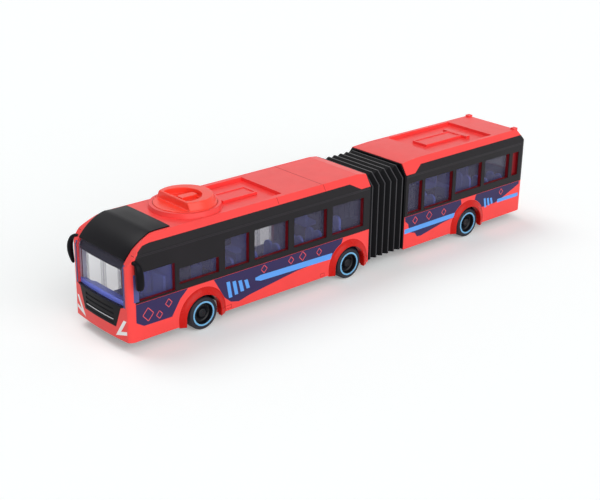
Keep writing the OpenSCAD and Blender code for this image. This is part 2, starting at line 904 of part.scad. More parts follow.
module front_chassis() {
  color(black) difference() {
    union() {
      intersection() {
        front_floor_plan();
        slab(front_end_x, nose_x, chassis_z, floor_z);
      }
      bearings(middle_axle_x);
      for (k = [-1, 1]) translate([screw_x + k * screw_pitch / 2, 0, chassis_z - screw_boss_h])
        cylinder(h = screw_boss_h + chassis_t / 2, r = screw_boss_r);
      slab(front_end_x, front_end_x + tongue_root, front_tongue_z, floor_z, -tongue_half, tongue_half);
      slab(pivot_x, front_end_x + tongue_root, front_tongue_z, front_tongue_top,
           -tongue_half, tongue_half);
      translate([pivot_x, 0, front_tongue_z]) cylinder(h = chassis_t, r = tongue_half);
    }
    difference() {
      well_cuts(front_axle_x, chassis_z - over, floor_z + over, well_y, well_half);
      king_brackets();
    }
    well_cuts(middle_axle_x, chassis_z - 1, floor_z + 1, plain_well_y, plain_well_half);
    for (s = [-1, 1]) translate([front_axle_x, s * kingpin_y, chassis_z - 1])
      cylinder(h = chassis_t + 2, r = axle_r + run_gap);
    translate([knob_x, 0, chassis_z - 1]) cylinder(h = chassis_t + 2, r = knob_shaft_r + run_gap);
    translate([pivot_x, 0, front_tongue_z - 1]) cylinder(h = chassis_t + 2, r = pivot_r + run_gap);
    axle_hole(middle_axle_x);
    for (k = [-1, 1]) translate([screw_x + k * screw_pitch / 2, 0, chassis_z - screw_boss_h - 1])
      cylinder(h = screw_depth + 1, r = screw_r);
  }
}

// Housing over the wheels at one axle, open below
module wheel_housings(x, inner_y, half_l) {
  for (s = [-1, 1]) difference() {
    slab(x - half_l - floor_t, x + half_l + floor_t, floor_z, well_top_z + floor_t,
         s > 0 ? inner_y - floor_t : -side_in + pane_gap,
         s > 0 ? side_in - pane_gap : -inner_y + floor_t);
    slab(x - half_l, x + half_l, floor_z - 1, well_top_z,
         s > 0 ? inner_y : -half, s > 0 ? half : -inner_y);
  }
}

module front_floor() {
  color(seat_blue) {
    difference() {
      intersection() {
        front_floor_plan();
        slab(front_end_x, nose_x, floor_z, deck_z);
      }
      well_cuts(front_axle_x, floor_z - 1, deck_z + 1, well_y, well_half);
      well_cuts(middle_axle_x, floor_z - 1, deck_z + 1, plain_well_y, plain_well_half);
      translate([knob_x, 0, floor_z - 1]) cylinder(h = floor_t + 2, r = knob_shaft_r + 1);
    }
    wheel_housings(front_axle_x, well_y, well_half);
    wheel_housings(middle_axle_x, plain_well_y, plain_well_half);
  }
}

// Bench for two with round-topped backs, its front at x = 0 towards +X
module seat(base, h) {
  r = seat_half / 2 - 0.4;
  slab(-seat_l - back_t, 0, base, base + h, -seat_half, seat_half);
  translate([-seat_l - back_t, 0, base]) rotate([90, 0, 90]) linear_extrude(back_t) {
    for (s = [-1, 1]) translate([s * seat_half / 2, 0]) {
      translate([0, h + back_rise - r]) circle(r);
      translate([-r, 0]) square([2 * r, h + back_rise - r]);
    }
    translate([-seat_half, 0]) square([2 * seat_half, h + 0.4 * back_rise]);
  }
}

module seats(rows, start_x) {
  for (row = rows)
    translate([start_x - row[0], row[1] * seat_y, 0]) rotate(row[2] * 180)
      if (row[3] > 0) seat(well_top_z + floor_t, housing_seat_h);
      else seat(deck_z, seat_h);
}

module front_seats() {
  color(seat_blue) seats(front_seats_at, nose_x);
}

// Driver's cab: ribbed wall beside the driver, wall behind, and the seat
driver_y = half - 14.5;
cab_x0 = nose_x - front_door_at - door_w - 1;
cab_l = 18;
cab_y = driver_y - 12;
cab_top_z = 54;
cab_wall = 1.2;
cab_pane_gap = 0.5;
rib_pitch = 3;
rib_w = 1;
rib_drop = 2;
driver_seat_x = cab_x0 + 12;
driver_seat_half = 6;
driver_seat_h = 12;
driver_back_h = 27;
driver_back_t = 2;

module driver_cab() {
  color(seat_blue) {
    slab(cab_x0, cab_x0 + cab_l, deck_z, cab_top_z, cab_y, cab_y + cab_wall);
    for (k = [1 : floor(cab_l / rib_pitch) - 1])
      slab(cab_x0 + k * rib_pitch, cab_x0 + k * rib_pitch + rib_w, deck_z, cab_top_z - rib_drop,
           cab_y, cab_y + 1.5 * cab_wall);
    slab(cab_x0 - cab_wall, cab_x0 + cab_wall, deck_z, cab_top_z,
         cab_y, side_in - pane_t - cab_pane_gap);
    slab(driver_seat_x - seat_l, driver_seat_x, deck_z, deck_z + driver_seat_h,
         driver_y - driver_seat_half, driver_y + driver_seat_half);
    slab(driver_seat_x - seat_l, driver_seat_x - seat_l + driver_back_t,
         deck_z, deck_z + driver_back_h,
         driver_y - driver_seat_half, driver_y + driver_seat_half);
  }
}

// Dashboard: its rear face, the height of its top there, the top's tilt, and the room
// that it leaves beside the front door
dash_l = 13;
dash_x = nose_x - dash_l;
dash_z = 31;
dash_tilt = 24;
dash_door_room = 6;

module dash_solid() {
  difference() {
    intersection() {
      front_solid(wall + pane_gap, skirt_z - over);
      slab(dash_x, nose_x, deck_z, roof_z, -side_in + pane_gap, side_in - pane_gap);
    }
    translate([dash_x, 0, dash_z]) rotate([0, -dash_tilt, 0])
      slab(-dash_l, 2 * dash_l, 0, roof_z);
    slab(dash_x - over, nose_x - front_door_at, deck_z - over, roof_z,
         -half, -side_in + dash_door_room);
  }
}

module dashboard() {
  color(seat_blue) dash_solid();
}

// Steering wheel on its column, which leans towards the driver
column_tilt = 50;
column_l = 6.4;
column_r = 1.4;
rim_r = 5.6;
rim_wire_r = 0.8;
spoke_w = 1.2;

module steering_wheel() {
  color(black) difference() {
    translate([dash_x, driver_y, dash_z - 4]) rotate([0, -column_tilt, 0]) {
      translate([0, 0, -column_r]) cylinder(h = column_l + column_r, r = column_r);
      translate([0, 0, column_l - spoke_w / 2]) {
        rotate_extrude() translate([rim_r, 0]) circle(rim_wire_r, $fn = 24);
        for (a = [90, 210, 330]) rotate(a)
          translate([0, -spoke_w / 2, -spoke_w / 2]) cube([rim_r, spoke_w, spoke_w]);
      }
    }
    dash_solid();
  }
}

// Mirror on a bent arm from the top corner of the nose, for one side
mirror_root = [nose_x - 5.2, half - 3, fold_z - 3];
mirror_bend = [nose_x - 4, half + 3.5, fold_z - 4.5];
mirror_top = [nose_x - 4.2, half + 4.8, fold_z - 9];
mirror_foot = [nose_x - 5.5, half + 4.8, fold_z - 23];

module mirror_arm() {
  hull() {
    translate(mirror_root) sphere(1.4, $fn = 20);
    translate(mirror_bend) sphere(1.5, $fn = 20);
  }
  hull() {
    translate(mirror_bend) sphere(1.5, $fn = 20);
    translate(mirror_top) sphere(1.9, $fn = 20);
  }
  hull() {
    translate(mirror_top) rotate([90, 0, 0]) cylinder(h = 3.2, r = 2.4, center = true, $fn = 24);
    translate(mirror_foot) rotate([90, 0, 0]) cylinder(h = 2.4, r = 1.4, center = true, $fn = 24);
  }
}

module mirror_left() {
  color(black) difference() {
    mirror_arm();
    front_solid(0);
  }
}

module mirror_right() {
  color(black) mirror([0, 1, 0]) difference() {
    mirror_arm();
    front_solid(0);
  }
}

// Zigzag edge: points along the bellows that rise to crest at each fold's middle
function zigzag(crest) = [
  for (k = [0 : 2 * folds]) [
    front_end_x - k * (bellows_length - slide_gap) / (2 * folds),
    k % 2 == 0 ? crest - fold_depth : crest
  ]
];
bellows_half = half - 0.8;
bellows_top_z = roof_z - slope_drop - 1.4;
bellows_corner = bellows_half + bellows_top_z - 8;
bellows_z = skirt_z + 1;
bellows_wall = 1.4;

// Space under a zigzag crest, on the +Y side of the folds
module zigzag_shape(crest) {
  polygon([
    [front_end_x, -crest], each zigzag(crest),
    [front_end_x - bellows_length + slide_gap, -crest]
  ]);
}

module bellows() {
  tunnel = fold_depth + bellows_wall;
  color(black) difference() {
    intersection() {
      translate([0, 0, bellows_z]) linear_extrude(roof_z) intersection() {
        zigzag_shape(bellows_half);
        mirror([0, 1]) zigzag_shape(bellows_half);
      }
      through_sides() zigzag_shape(bellows_top_z);
      for_corners() zigzag_shape(bellows_corner / sqrt(2));
    }
    slab(front_end_x - bellows_length - 1, front_end_x + 1, -1, bellows_top_z - tunnel,
         -bellows_half + tunnel, bellows_half - tunnel);
  }
}

// Shape seen along the two leaning corners of the bellows
module for_corners() {
  intersection() {
    rotate([45, 0, 0]) rotate([90, 0, 0]) linear_extrude(4 * body_width, center = true) children();
    rotate([-45, 0, 0]) rotate([90, 0, 0]) linear_extrude(4 * body_width, center = true) children();
  }
}

// Rear section

module rear_side(side) {
  difference() {
    union() {
      intersection() {
        rear_solid(0);
        slab(tail_cut_x, rear_start_x, skirt_z, fold_z,
             side > 0 ? side_in : -half - 1, side > 0 ? half + 1 : -side_in);
      }
      flare(rear_axle_x, side);
    }
    arch_cut(rear_axle_x, side);
    rear_cuts(rear_windows, side);
    recess_cut(side);
    rear_pocket(band_t) through_sides() rear_wall_pocket_shape();
  }
}

module rear_side_left() {
  color(red) difference() {
    rear_side(1);
    rear_cuts(rear_left_windows, 1);
  }
}

module rear_side_right() {
  color(red) difference() {
    rear_side(-1);
    doorway_cut(rear_door_at, rear_start_x);
  }
}

// Corner lugs on the roof at the tail
lug = [4.5, 4, 1.2];
lug_gap = 0.1;
lug_x = tail_cut_x + lug_gap;

module rear_roof() {
  color(red) {
    difference() {
      intersection() {
        rear_layer(wall);
        slab(tail_cut_x, rear_start_x, fold_z);
      }
      pan_cut(rear_pan_x, rear_pan_half);
      roof_slope(rear_start_x, -1, rear_slope_run, slope_drop);
      rear_pocket(band_t) through_sides() rear_roof_pocket_shape();
    }
    roof_pan(rear_pan_x, rear_pan_half, rear_hatch_in);
    hatch_bar();
    for (s = [-1, 1])
      translate([lug_x, s * (roof_half - lug[1] / 2) - lug[1] / 2, roof_z - wall / 2])
        cube([lug[0], lug[1], lug[2] + wall / 2]);
  }
}

// Rear window, lamps and plate, seen from the tail
rear_window_half = half - 8.5;
rear_window_z = 40;
rear_window_top_z = 62;
tail_lamp = [4.5, 12];
tail_lamp_at = [half - 5.5, 20];
plate = [20, 5];
plate_z = 20;

module rear_window_shape(gap = 0) {
  translate([-rear_window_half + gap, rear_window_z + gap])
    square([2 * (rear_window_half - gap), rear_window_top_z - rear_window_z - 2 * gap]);
}

module tail_lamp_shape() {
  for (s = [-1, 1]) translate([s * tail_lamp_at[0] - tail_lamp[0] / 2, tail_lamp_at[1]])
    square(tail_lamp);
}

module plate_shape() {
  translate([-plate[0] / 2, plate_z]) square(plate);
}

module tail_panel() {
  color(red) difference() {
    intersection() {
      rear_layer(wall);
      slab(tail_x - over, tail_cut_x);
    }
    rear_pocket(band_t) through_sides() rear_roof_pocket_shape();
    through_end(tail_x - over, tail_cut_x) rear_window_shape();
    rear_pocket(cap_t) through_end(tail_x - over, tail_cut_x) tail_lamp_shape();
    rear_pocket(cap_t / 2) through_end(tail_x - over, tail_cut_x) plate_shape();
  }
}

module rear_bands() {
  color(black) difference() {
    rear_band_layer();
    for (s = [-1, 1]) {
      rear_cuts(rear_windows, s);
      recess_cut(s);
    }
    rear_cuts(rear_left_windows, 1);
    doorway_cut(rear_door_at, rear_start_x);
    through_end(tail_x - 1, tail_cut_x) rear_window_shape();
  }
}

module rear_window() {
  color(clear) intersection() {
    rear_layer(wall - 0.6, 0.3);
    through_end(tail_x - 1, tail_cut_x) rear_window_shape(pane_gap);
  }
}

module rear_side_panes() {
  door_x = rear_start_x - rear_door_at;
  last_x = rear_start_x - tail_recess[0] + 1;
  color(clear) {
    pane_strip(last_x, rear_start_x - 2, 1);
    pane_strip(door_x + 2, rear_start_x - 2, -1);
    pane_strip(last_x, door_x - door_w - 2, -1);
  }
}

module rear_chassis() {
  color(black) difference() {
    union() {
      intersection() {
        rear_floor_plan();
        slab(tail_x, rear_start_x, chassis_z, floor_z);
      }
      bearings(rear_axle_x);
      slab(rear_start_x - tongue_root, pivot_x, chassis_z, floor_z, -tongue_half, tongue_half);
      translate([pivot_x, 0, chassis_z]) cylinder(h = chassis_t, r = tongue_half);
    }
    well_cuts(rear_axle_x, chassis_z - 1, floor_z + 1, plain_well_y, plain_well_half);
    translate([pivot_x, 0, chassis_z - 1]) cylinder(h = chassis_t + 2, r = pivot_r);
    axle_hole(rear_axle_x);
  }
}

module rear_floor() {
  color(seat_blue) {
    difference() {
      intersection() {
        rear_floor_plan();
        slab(tail_x, rear_start_x, floor_z, deck_z);
      }
      well_cuts(rear_axle_x, floor_z - 1, deck_z + 1, plain_well_y, plain_well_half);
    }
    wheel_housings(rear_axle_x, plain_well_y, plain_well_half);
  }
}

module rear_seats() {
  color(seat_blue) seats(rear_seats_at, rear_start_x);
}

module tail_lamps() {
  color(lamp_red) intersection() {
    rear_layer(cap_t);
    through_end(tail_x - 1, tail_cut_x) tail_lamp_shape();
  }
}

module number_plate() {
  color(white) intersection() {
    rear_layer(cap_t / 2);
    through_end(tail_x - 1, tail_cut_x) plate_shape();
  }
}

// Pivot pin with a head under the front tongue
pin_head_r = pivot_r + 1.6;
pin_head_h = 1.2;

module pivot_pin() {
  head_z = front_tongue_z - slide_gap - pin_head_h;
  color(steel) translate([pivot_x, 0, head_z]) {
    cylinder(h = floor_z - head_z, r = pivot_r);
    cylinder(h = pin_head_h, r = pin_head_r);
  }
}

// Steering

crank_t = 2;
rod_z = chassis_z - slide_gap - crank_t - slide_gap - crank_t;
arm_z = chassis_z - slide_gap - crank_t;
slot_gap = 0.25;
crank_rim = 1;

// Knob: a disc in the collar, a crown that narrows upward with a flat front, a hollow in
// the crown and a grip that stands in the hollow
knob_z = collar_z - collar_hollow + slide_gap;
knob_disc_h = 1.6;
crown_z = knob_z + knob_disc_h;
crown_h = 5.3;
crown_step = 0.6;
crown_taper = 2.4;
knob_flat = 10.2;
hollow_at = 3;
hollow_r = 14;
hollow_lip = 1.5;
hollow_floor = 1;
grip_x0 = -8.8;
grip_x1 = 5;
grip_half = 3.2;
grip_corner = 1.6;
grip_h = 3.9;

// Hollow seen from above
module hollow_shape() {
  intersection() {
    translate([hollow_at, 0]) circle(hollow_r, $fn = 96);
    translate([-knob_r, -knob_r]) square([knob_r + knob_flat - hollow_lip, 2 * knob_r]);
  }
}

// Grip seen from above, with rounded rear corners
module grip_shape() {
  translate([grip_x0 + grip_corner, -grip_half])
    square([grip_x1 - grip_x0 - grip_corner, 2 * grip_half]);
  translate([grip_x0, -grip_half + grip_corner])
    square([grip_x1 - grip_x0, 2 * (grip_half - grip_corner)]);
  for (s = [-1, 1])
    translate([grip_x0 + grip_corner, s * (grip_half - grip_corner)]) circle(grip_corner, $fn = 32);
}

module steering_knob() {
  crown_r = knob_r - crown_step;
  color(red) translate([knob_x, 0, 0]) {
    translate([0, 0, knob_z]) cylinder(h = knob_disc_h, r = knob_r, $fn = 96);
    difference() {
      translate([0, 0, crown_z])
        cylinder(h = crown_h, r1 = crown_r, r2 = crown_r - crown_taper, $fn = 96);
      slab(knob_flat, knob_r, crown_z - over, crown_z + crown_h + over);
      translate([0, 0, crown_z + hollow_floor]) linear_extrude(crown_h) hollow_shape();
    }
    translate([0, 0, crown_z]) linear_extrude(grip_h) grip_shape();
    translate([0, 0, arm_z]) cylinder(h = knob_z - arm_z + knob_disc_h / 2, r = knob_shaft_r);
    translate([-crank_throw, 0, rod_z]) cylinder(h = 1.5 * crank_t + slide_gap, r = steer_pin_r);
    translate([0, 0, arm_z]) {
      cylinder(h = crank_t, r = knob_shaft_r + crank_rim);
      translate([-crank_throw, -steer_pin_r - crank_rim, 0])
        cube([crank_throw, 2 * (steer_pin_r + crank_rim), crank_t]);
      translate([-crank_throw, 0, 0]) cylinder(h = crank_t, r = steer_pin_r + crank_rim);
    }
  }
}

rod_half = 2.2;

module tie_rod() {
  slot_w = 2 * (steer_pin_r + slot_gap);
  color(black) translate([knob_x, 0, rod_z]) difference() {
    union() {
      translate([-rod_half, -kingpin_y, 0]) cube([2 * rod_half, 2 * kingpin_y, crank_t]);
      for (s = [-1, 1]) translate([0, s * kingpin_y, 0]) cylinder(h = crank_t, r = rod_half);
      translate([-crank_throw - 4, -slot_w / 2 - 1.5, 0]) cube([crank_throw + 4, slot_w + 3, crank_t]);
    }
    for (s = [-1, 1]) translate([0, s * kingpin_y, -1])
      cylinder(h = crank_t + 2, r = steer_pin_r + run_gap);
    translate([-crank_throw - steer_pin_r - 0.6, -slot_w / 2, -1])
      cube([crank_throw * 0.42 + 2 * steer_pin_r + 1, slot_w, crank_t + 2]);
  }
}

// Knuckle with king pin, steering arm and stub axle, for one side
knuckle_half = 3;
king_head_h = 1.2;
stub_l = half - wheel_inset - 1.5 - kingpin_y;

module knuckle(side) {
  color(black) translate([front_axle_x, side * kingpin_y, 0]) {
    translate([0, 0, axle_z - knuckle_half])
      cylinder(h = chassis_z - slide_gap - axle_z + knuckle_half, r = knuckle_half);
    translate([0, 0, axle_z]) cylinder(h = floor_z + slide_gap + king_head_h / 2 - axle_z, r = axle_r);
    translate([0, 0, floor_z + slide_gap]) cylinder(h = king_head_h, r = king_head_r);
    translate([-steer_arm, -rod_half, arm_z]) cube([steer_arm, 2 * rod_half, crank_t]);
    translate([-steer_arm, 0, arm_z]) cylinder(h = crank_t, r = rod_half);
    translate([-steer_arm, 0, rod_z]) cylinder(h = crank_t + slide_gap + 1, r = steer_pin_r);
    translate([0, 0, axle_z]) rotate([-side * 90, 0, 0]) cylinder(h = stub_l, r = axle_r);
  }
}

module knuckle_left() {
  knuckle(1);
}

module knuckle_right() {
  knuckle(-1);
}

// Wheels

wheel_y = half - wheel_inset - wheel_w / 2;
dish_r = ring_r - ring_w / 2 - 0.5;
dish_depth = wheel_w * 0.45;
hub_r = axle_r + 1.6;
shoulder = 0.8;

// Wheel with its outer face towards +Z, bored for a stub or an axle
module wheel(bore_r) {
  h = wheel_w / 2;
  color(black) difference() {
    rotate_extrude($fn = 96) polygon([
      [0, -h], [wheel_r - shoulder, -h], [wheel_r, -h + shoulder],
      [wheel_r, h - shoulder], [wheel_r - shoulder, h], [dish_r, h],
      [dish_r - 0.8, h - dish_depth], [hub_r, h - dish_depth], [hub_r, h - 1], [0, h - 1]
    ]);
    translate([0, 0, -h - 1]) cylinder(h = wheel_w + 2, r = bore_r);
    ring_solid();
  }
}

// Coloured ring let into the outer face of a wheel
module ring_solid() {
  translate([0, 0, wheel_w / 2 - 0.6]) difference() {
    cylinder(h = 0.6, r = ring_r + ring_w / 2, $fn = 96);
    translate([0, 0, -1]) cylinder(h = 3, r = ring_r - ring_w / 2, $fn = 96);
  }
}

// Places a wheel or a ring at one end of an axle
module at_wheel(x, side) {
  translate([x, side * wheel_y, axle_z]) rotate([-side * 90, 0, 0]) children();
}

module front_wheel_left() {
  at_wheel(front_axle_x, 1) wheel(axle_r + run_gap);
}

module front_ring_left() {
  color(ring_blue) at_wheel(front_axle_x, 1) ring_solid();
}

module front_wheel_right() {
  at_wheel(front_axle_x, -1) wheel(axle_r + run_gap);
}

module front_ring_right() {
  color(ring_blue) at_wheel(front_axle_x, -1) ring_solid();
}

module axle(x) {
  color(steel) translate([x, 0, axle_z]) rotate([90, 0, 0])
    cylinder(h = 2 * (half - wheel_inset - 1.5), r = axle_r, center = true);
}

module wheels(x) {
  for (s = [-1, 1]) at_wheel(x, s) wheel(axle_r);
}

module rings(x) {
  color(ring_blue) for (s = [-1, 1]) at_wheel(x, s) ring_solid();
}

module middle_axle() {
  axle(middle_axle_x);
}

module middle_wheels() {
  wheels(middle_axle_x);
}

module middle_rings() {
  rings(middle_axle_x);
}

module rear_axle() {
  axle(rear_axle_x);
}

module rear_wheels() {
  wheels(rear_axle_x);
}

module rear_rings() {
  rings(rear_axle_x);
}

// Doors

// Leaf hinged at x = 0 on the Z axis, reaching to +X, with a thin clear pane in its frame
module leaf() {
  z0 = door_z + leaf_gap;
  h = door_top_z - door_z - 2 * leaf_gap;
  pane_half = pane_t / 2;
  color(black) {
    difference() {
      translate([0, -hinge_r, z0]) cube([leaf_w - hinge_r, leaf_t, h]);
      for (s = [-1, 1])
        translate([leaf_frame, s > 0 ? pane_half : -hinge_r - 1, z0 + leaf_frame])
          cube([leaf_w - hinge_r - 2 * leaf_frame, hinge_r - pane_half + 1, h - 2 * leaf_frame]);
    }
    translate([0, 0, z0]) cylinder(h = h, r = hinge_r);
    translate([0, 0, door_z - hinge_pin_l])
      cylinder(h = door_top_z - door_z + 2 * hinge_pin_l, r = leaf_pin_r);
  }
}

// Leaf at the fore or the aft edge of a doorway
module fore_leaf(at, start_x) {
  translate([start_x - at - leaf_gap - hinge_r, leaf_y, 0]) rotate(180) leaf();
}

module aft_leaf(at, start_x) {
  translate([start_x - at - door_w + leaf_gap + hinge_r, leaf_y, 0]) leaf();
}

module front_door_fore() {
  fore_leaf(front_door_at, nose_x);
}

module front_door_aft() {
  aft_leaf(front_door_at, nose_x);
}

module middle_door_fore() {
  fore_leaf(middle_door_at, nose_x);
}

module middle_door_aft() {
  aft_leaf(middle_door_at, nose_x);
}

module rear_door_fore() {
  fore_leaf(rear_door_at, rear_start_x);
}

module rear_door_aft() {
  aft_leaf(rear_door_at, rear_start_x);
}

front_nose();
front_side_left();
front_side_right();
front_roof();
front_bands();
roof_cap();
windscreen();
sign_board();
grille();
running_lamps();
front_side_panes();
front_chassis();
front_floor();
front_seats();
driver_cab();
dashboard();
steering_wheel();
mirror_left();
mirror_right();
bellows();
rear_side_left();
rear_side_right();
rear_roof();
tail_panel();
rear_bands();
rear_window();
rear_side_panes();
rear_chassis();
rear_floor();
rear_seats();
tail_lamps();
number_plate();
pivot_pin();
steering_knob();
tie_rod();
knuckle_left();
knuckle_right();
front_wheel_left();
front_ring_left();
front_wheel_right();
front_ring_right();
middle_axle();
middle_wheels();
middle_rings();
rear_axle();
rear_wheels();
rear_rings();
front_door_fore();
front_door_aft();
middle_door_fore();
middle_door_aft();
rear_door_fore();
rear_door_aft();
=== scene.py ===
"""Looks of a toy articulated city bus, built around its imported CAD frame."""
import math

import bmesh
import bpy
from mathutils import Matrix, Vector


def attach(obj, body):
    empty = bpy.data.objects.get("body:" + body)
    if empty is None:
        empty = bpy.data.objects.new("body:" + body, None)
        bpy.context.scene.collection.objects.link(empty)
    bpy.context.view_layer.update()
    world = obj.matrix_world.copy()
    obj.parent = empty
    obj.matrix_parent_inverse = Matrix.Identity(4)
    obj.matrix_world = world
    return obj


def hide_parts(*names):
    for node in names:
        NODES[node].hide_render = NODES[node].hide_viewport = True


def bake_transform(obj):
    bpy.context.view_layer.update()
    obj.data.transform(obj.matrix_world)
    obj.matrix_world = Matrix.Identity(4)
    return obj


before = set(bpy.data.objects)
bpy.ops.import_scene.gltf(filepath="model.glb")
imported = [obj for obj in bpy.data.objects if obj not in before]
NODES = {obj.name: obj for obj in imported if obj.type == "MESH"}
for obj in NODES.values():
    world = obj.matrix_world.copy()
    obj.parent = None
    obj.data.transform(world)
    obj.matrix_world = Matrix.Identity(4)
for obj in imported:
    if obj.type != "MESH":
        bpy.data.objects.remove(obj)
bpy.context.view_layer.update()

# Main sizes of the bus, in mm
MM = 0.001
SIDE_Y = 32.5
NOSE_X = 200.0
SEAM_X = 193.2
FRONT_END_X = -17.5
REAR_START_X = -56.0
TAIL_X = -200.0
AXLE_Z = 11.8
FRONT_AXLE_X = 138.0
MIDDLE_AXLE_X = 2.0
REAR_AXLE_X = -131.4
WHEEL_R = 11.8
WHEEL_W = 7.0
# Outer face of a tyre beyond the plain wheel, and radii of its light ring
TYRE_BULGE = 1.2
RING = (7.7, 8.95)
WHEEL_Y = 27.6
BAND_Z = 34.7
ARCH_R = 14.6
ARCH_LEAD = 1.2
# Depth under the surface at which trim and print start, and height of fine lines above it
PRINT_DEPTH = 0.1
SKIN_DEPTH = 0.3
LINE_T = 0.05


# Camera, light and floor: angles in degrees, places in m

CAMERA_ANGLES = (137.912, 22.282, 0.968)
CAMERA_PLACE = (0.59495, 0.63407, 0.36804)
CAMERA_LENS = 73.748
# Suns: direction towards the light, strength and spread
KEY_SUN = ((0.1, -0.5, 0.86), 1.02, 36.0)
FILL_SUN = ((0.1, 0.92, 0.38), 2.2, 70.0)
WORLD_STRENGTH = 0.31
FLOOR_REACH = 6.0
FLOOR_COLOUR = (0.91, 0.935, 0.935, 1)
FLOOR_LIFT = 0.2


def aim_camera():
    """Camera fitted to the photograph's perspective."""
    azimuth, elevation, roll = (math.radians(a) for a in CAMERA_ANGLES)
    back = Vector((math.sin(azimuth) * math.cos(elevation),
                   -math.cos(azimuth) * math.cos(elevation), math.sin(elevation)))
    right = Vector((0, 0, 1)).cross(back).normalized()
    up = back.cross(right)
    tilted_right = right * math.cos(roll) + up * math.sin(roll)
    tilted_up = up * math.cos(roll) - right * math.sin(roll)
    data = bpy.data.cameras.new("camera")
    data.sensor_fit = "HORIZONTAL"
    data.sensor_width = 36.0
    data.lens = CAMERA_LENS
    data.clip_start = 0.01
    camera = bpy.data.objects.new("camera", data)
    turn = Matrix((tilted_right, tilted_up, back)).transposed().to_4x4()
    camera.matrix_world = Matrix.Translation(Vector(CAMERA_PLACE)) @ turn
    bpy.context.scene.collection.objects.link(camera)
    bpy.context.scene.camera = camera


def soft_sun(name, toward, strength, spread):
    """Even, wide light from one side, like a large studio screen."""
    data = bpy.data.lights.new(name, "SUN")
    data.energy = strength
    data.angle = math.radians(spread)
    lamp = bpy.data.objects.new(name, data)
    lamp.rotation_euler = Vector(toward).to_track_quat("Z", "Y").to_euler()
    bpy.context.scene.collection.objects.link(lamp)


def background_rays(tree):
    """Socket that is 1 for rays that show the background: seen, through glass or off gloss."""
    path = tree.nodes.new("ShaderNodeLightPath")
    shown = path.outputs["Is Camera Ray"]
    for kind in ("Is Transmission Ray", "Is Glossy Ray"):
        either = tree.nodes.new("ShaderNodeMath")
        either.operation = "MAXIMUM"
        tree.links.new(shown, either.inputs[0])
        tree.links.new(path.outputs[kind], either.inputs[1])
        shown = either.outputs[0]
    return shown


def studio():
    """White surroundings, two soft suns and a pale floor."""
    scene = bpy.context.scene
    scene.view_settings.view_transform = "Standard"
    world = bpy.data.worlds.new("studio")
    scene.world = world
    world.use_nodes = True
    tree = world.node_tree
    tree.nodes.clear()
    out = tree.nodes.new("ShaderNodeOutputWorld")
    plain = tree.nodes.new("ShaderNodeBackground")
    plain.inputs["Color"].default_value = (1, 1, 1, 1)
    plain.inputs["Strength"].default_value = WORLD_STRENGTH
    shown = tree.nodes.new("ShaderNodeBackground")
    shown.inputs["Color"].default_value = (1, 1, 1, 1)
    shown.inputs["Strength"].default_value = 1.0
    mix = tree.nodes.new("ShaderNodeMixShader")
    tree.links.new(background_rays(tree), mix.inputs[0])
    tree.links.new(plain.outputs[0], mix.inputs[1])
    tree.links.new(shown.outputs[0], mix.inputs[2])
    tree.links.new(mix.outputs[0], out.inputs["Surface"])

    soft_sun("key", *KEY_SUN)
    soft_sun("fill", *FILL_SUN)

    floor_mesh = bpy.data.meshes.new("floor")
    corners = [(x * FLOOR_REACH, y * FLOOR_REACH, 0)
               for x, y in ((-1, -1), (1, -1), (1, 1), (-1, 1))]
    floor_mesh.from_pydata(corners, [], [(0, 1, 2, 3)])
    floor = bpy.data.objects.new("floor", floor_mesh)
    scene.collection.objects.link(floor)
    floor_mesh.materials.append(floor_material())


def floor_material():
    """Pale floor that the camera sees as white; it keeps the object's shadow."""
    mat = bpy.data.materials.new("floor")
    mat.use_nodes = True
    tree = mat.node_tree
    bsdf = tree.nodes["Principled BSDF"]
    bsdf.inputs["Base Color"].default_value = FLOOR_COLOUR
    bsdf.inputs["Roughness"].default_value = 0.9
    bsdf.inputs["Specular IOR Level"].default_value = 0.0
    bsdf.inputs["Emission Color"].default_value = (1, 1, 1, 1)
    lift = tree.nodes.new("ShaderNodeMath")
    lift.operation = "MULTIPLY"
    lift.inputs[1].default_value = FLOOR_LIFT
    tree.links.new(background_rays(tree), lift.inputs[0])
    tree.links.new(lift.outputs[0], bsdf.inputs["Emission Strength"])
    return mat


# Materials

# Scale of the colour drift, how much finer the gloss varies, and depth of the grain in m
MOTTLE_SCALE = 45.0
SMEAR_FINER = 3.1
GRAIN_DEPTH = 0.0002
COAT_ROUGH = 0.1


def srgb(r, g, b):
    """Linear colour from 8-bit sRGB values."""
    return tuple(c / 12.92 if c <= 0.04045 else ((c + 0.055) / 1.055) ** 2.4
                 for c in (r / 255, g / 255, b / 255))


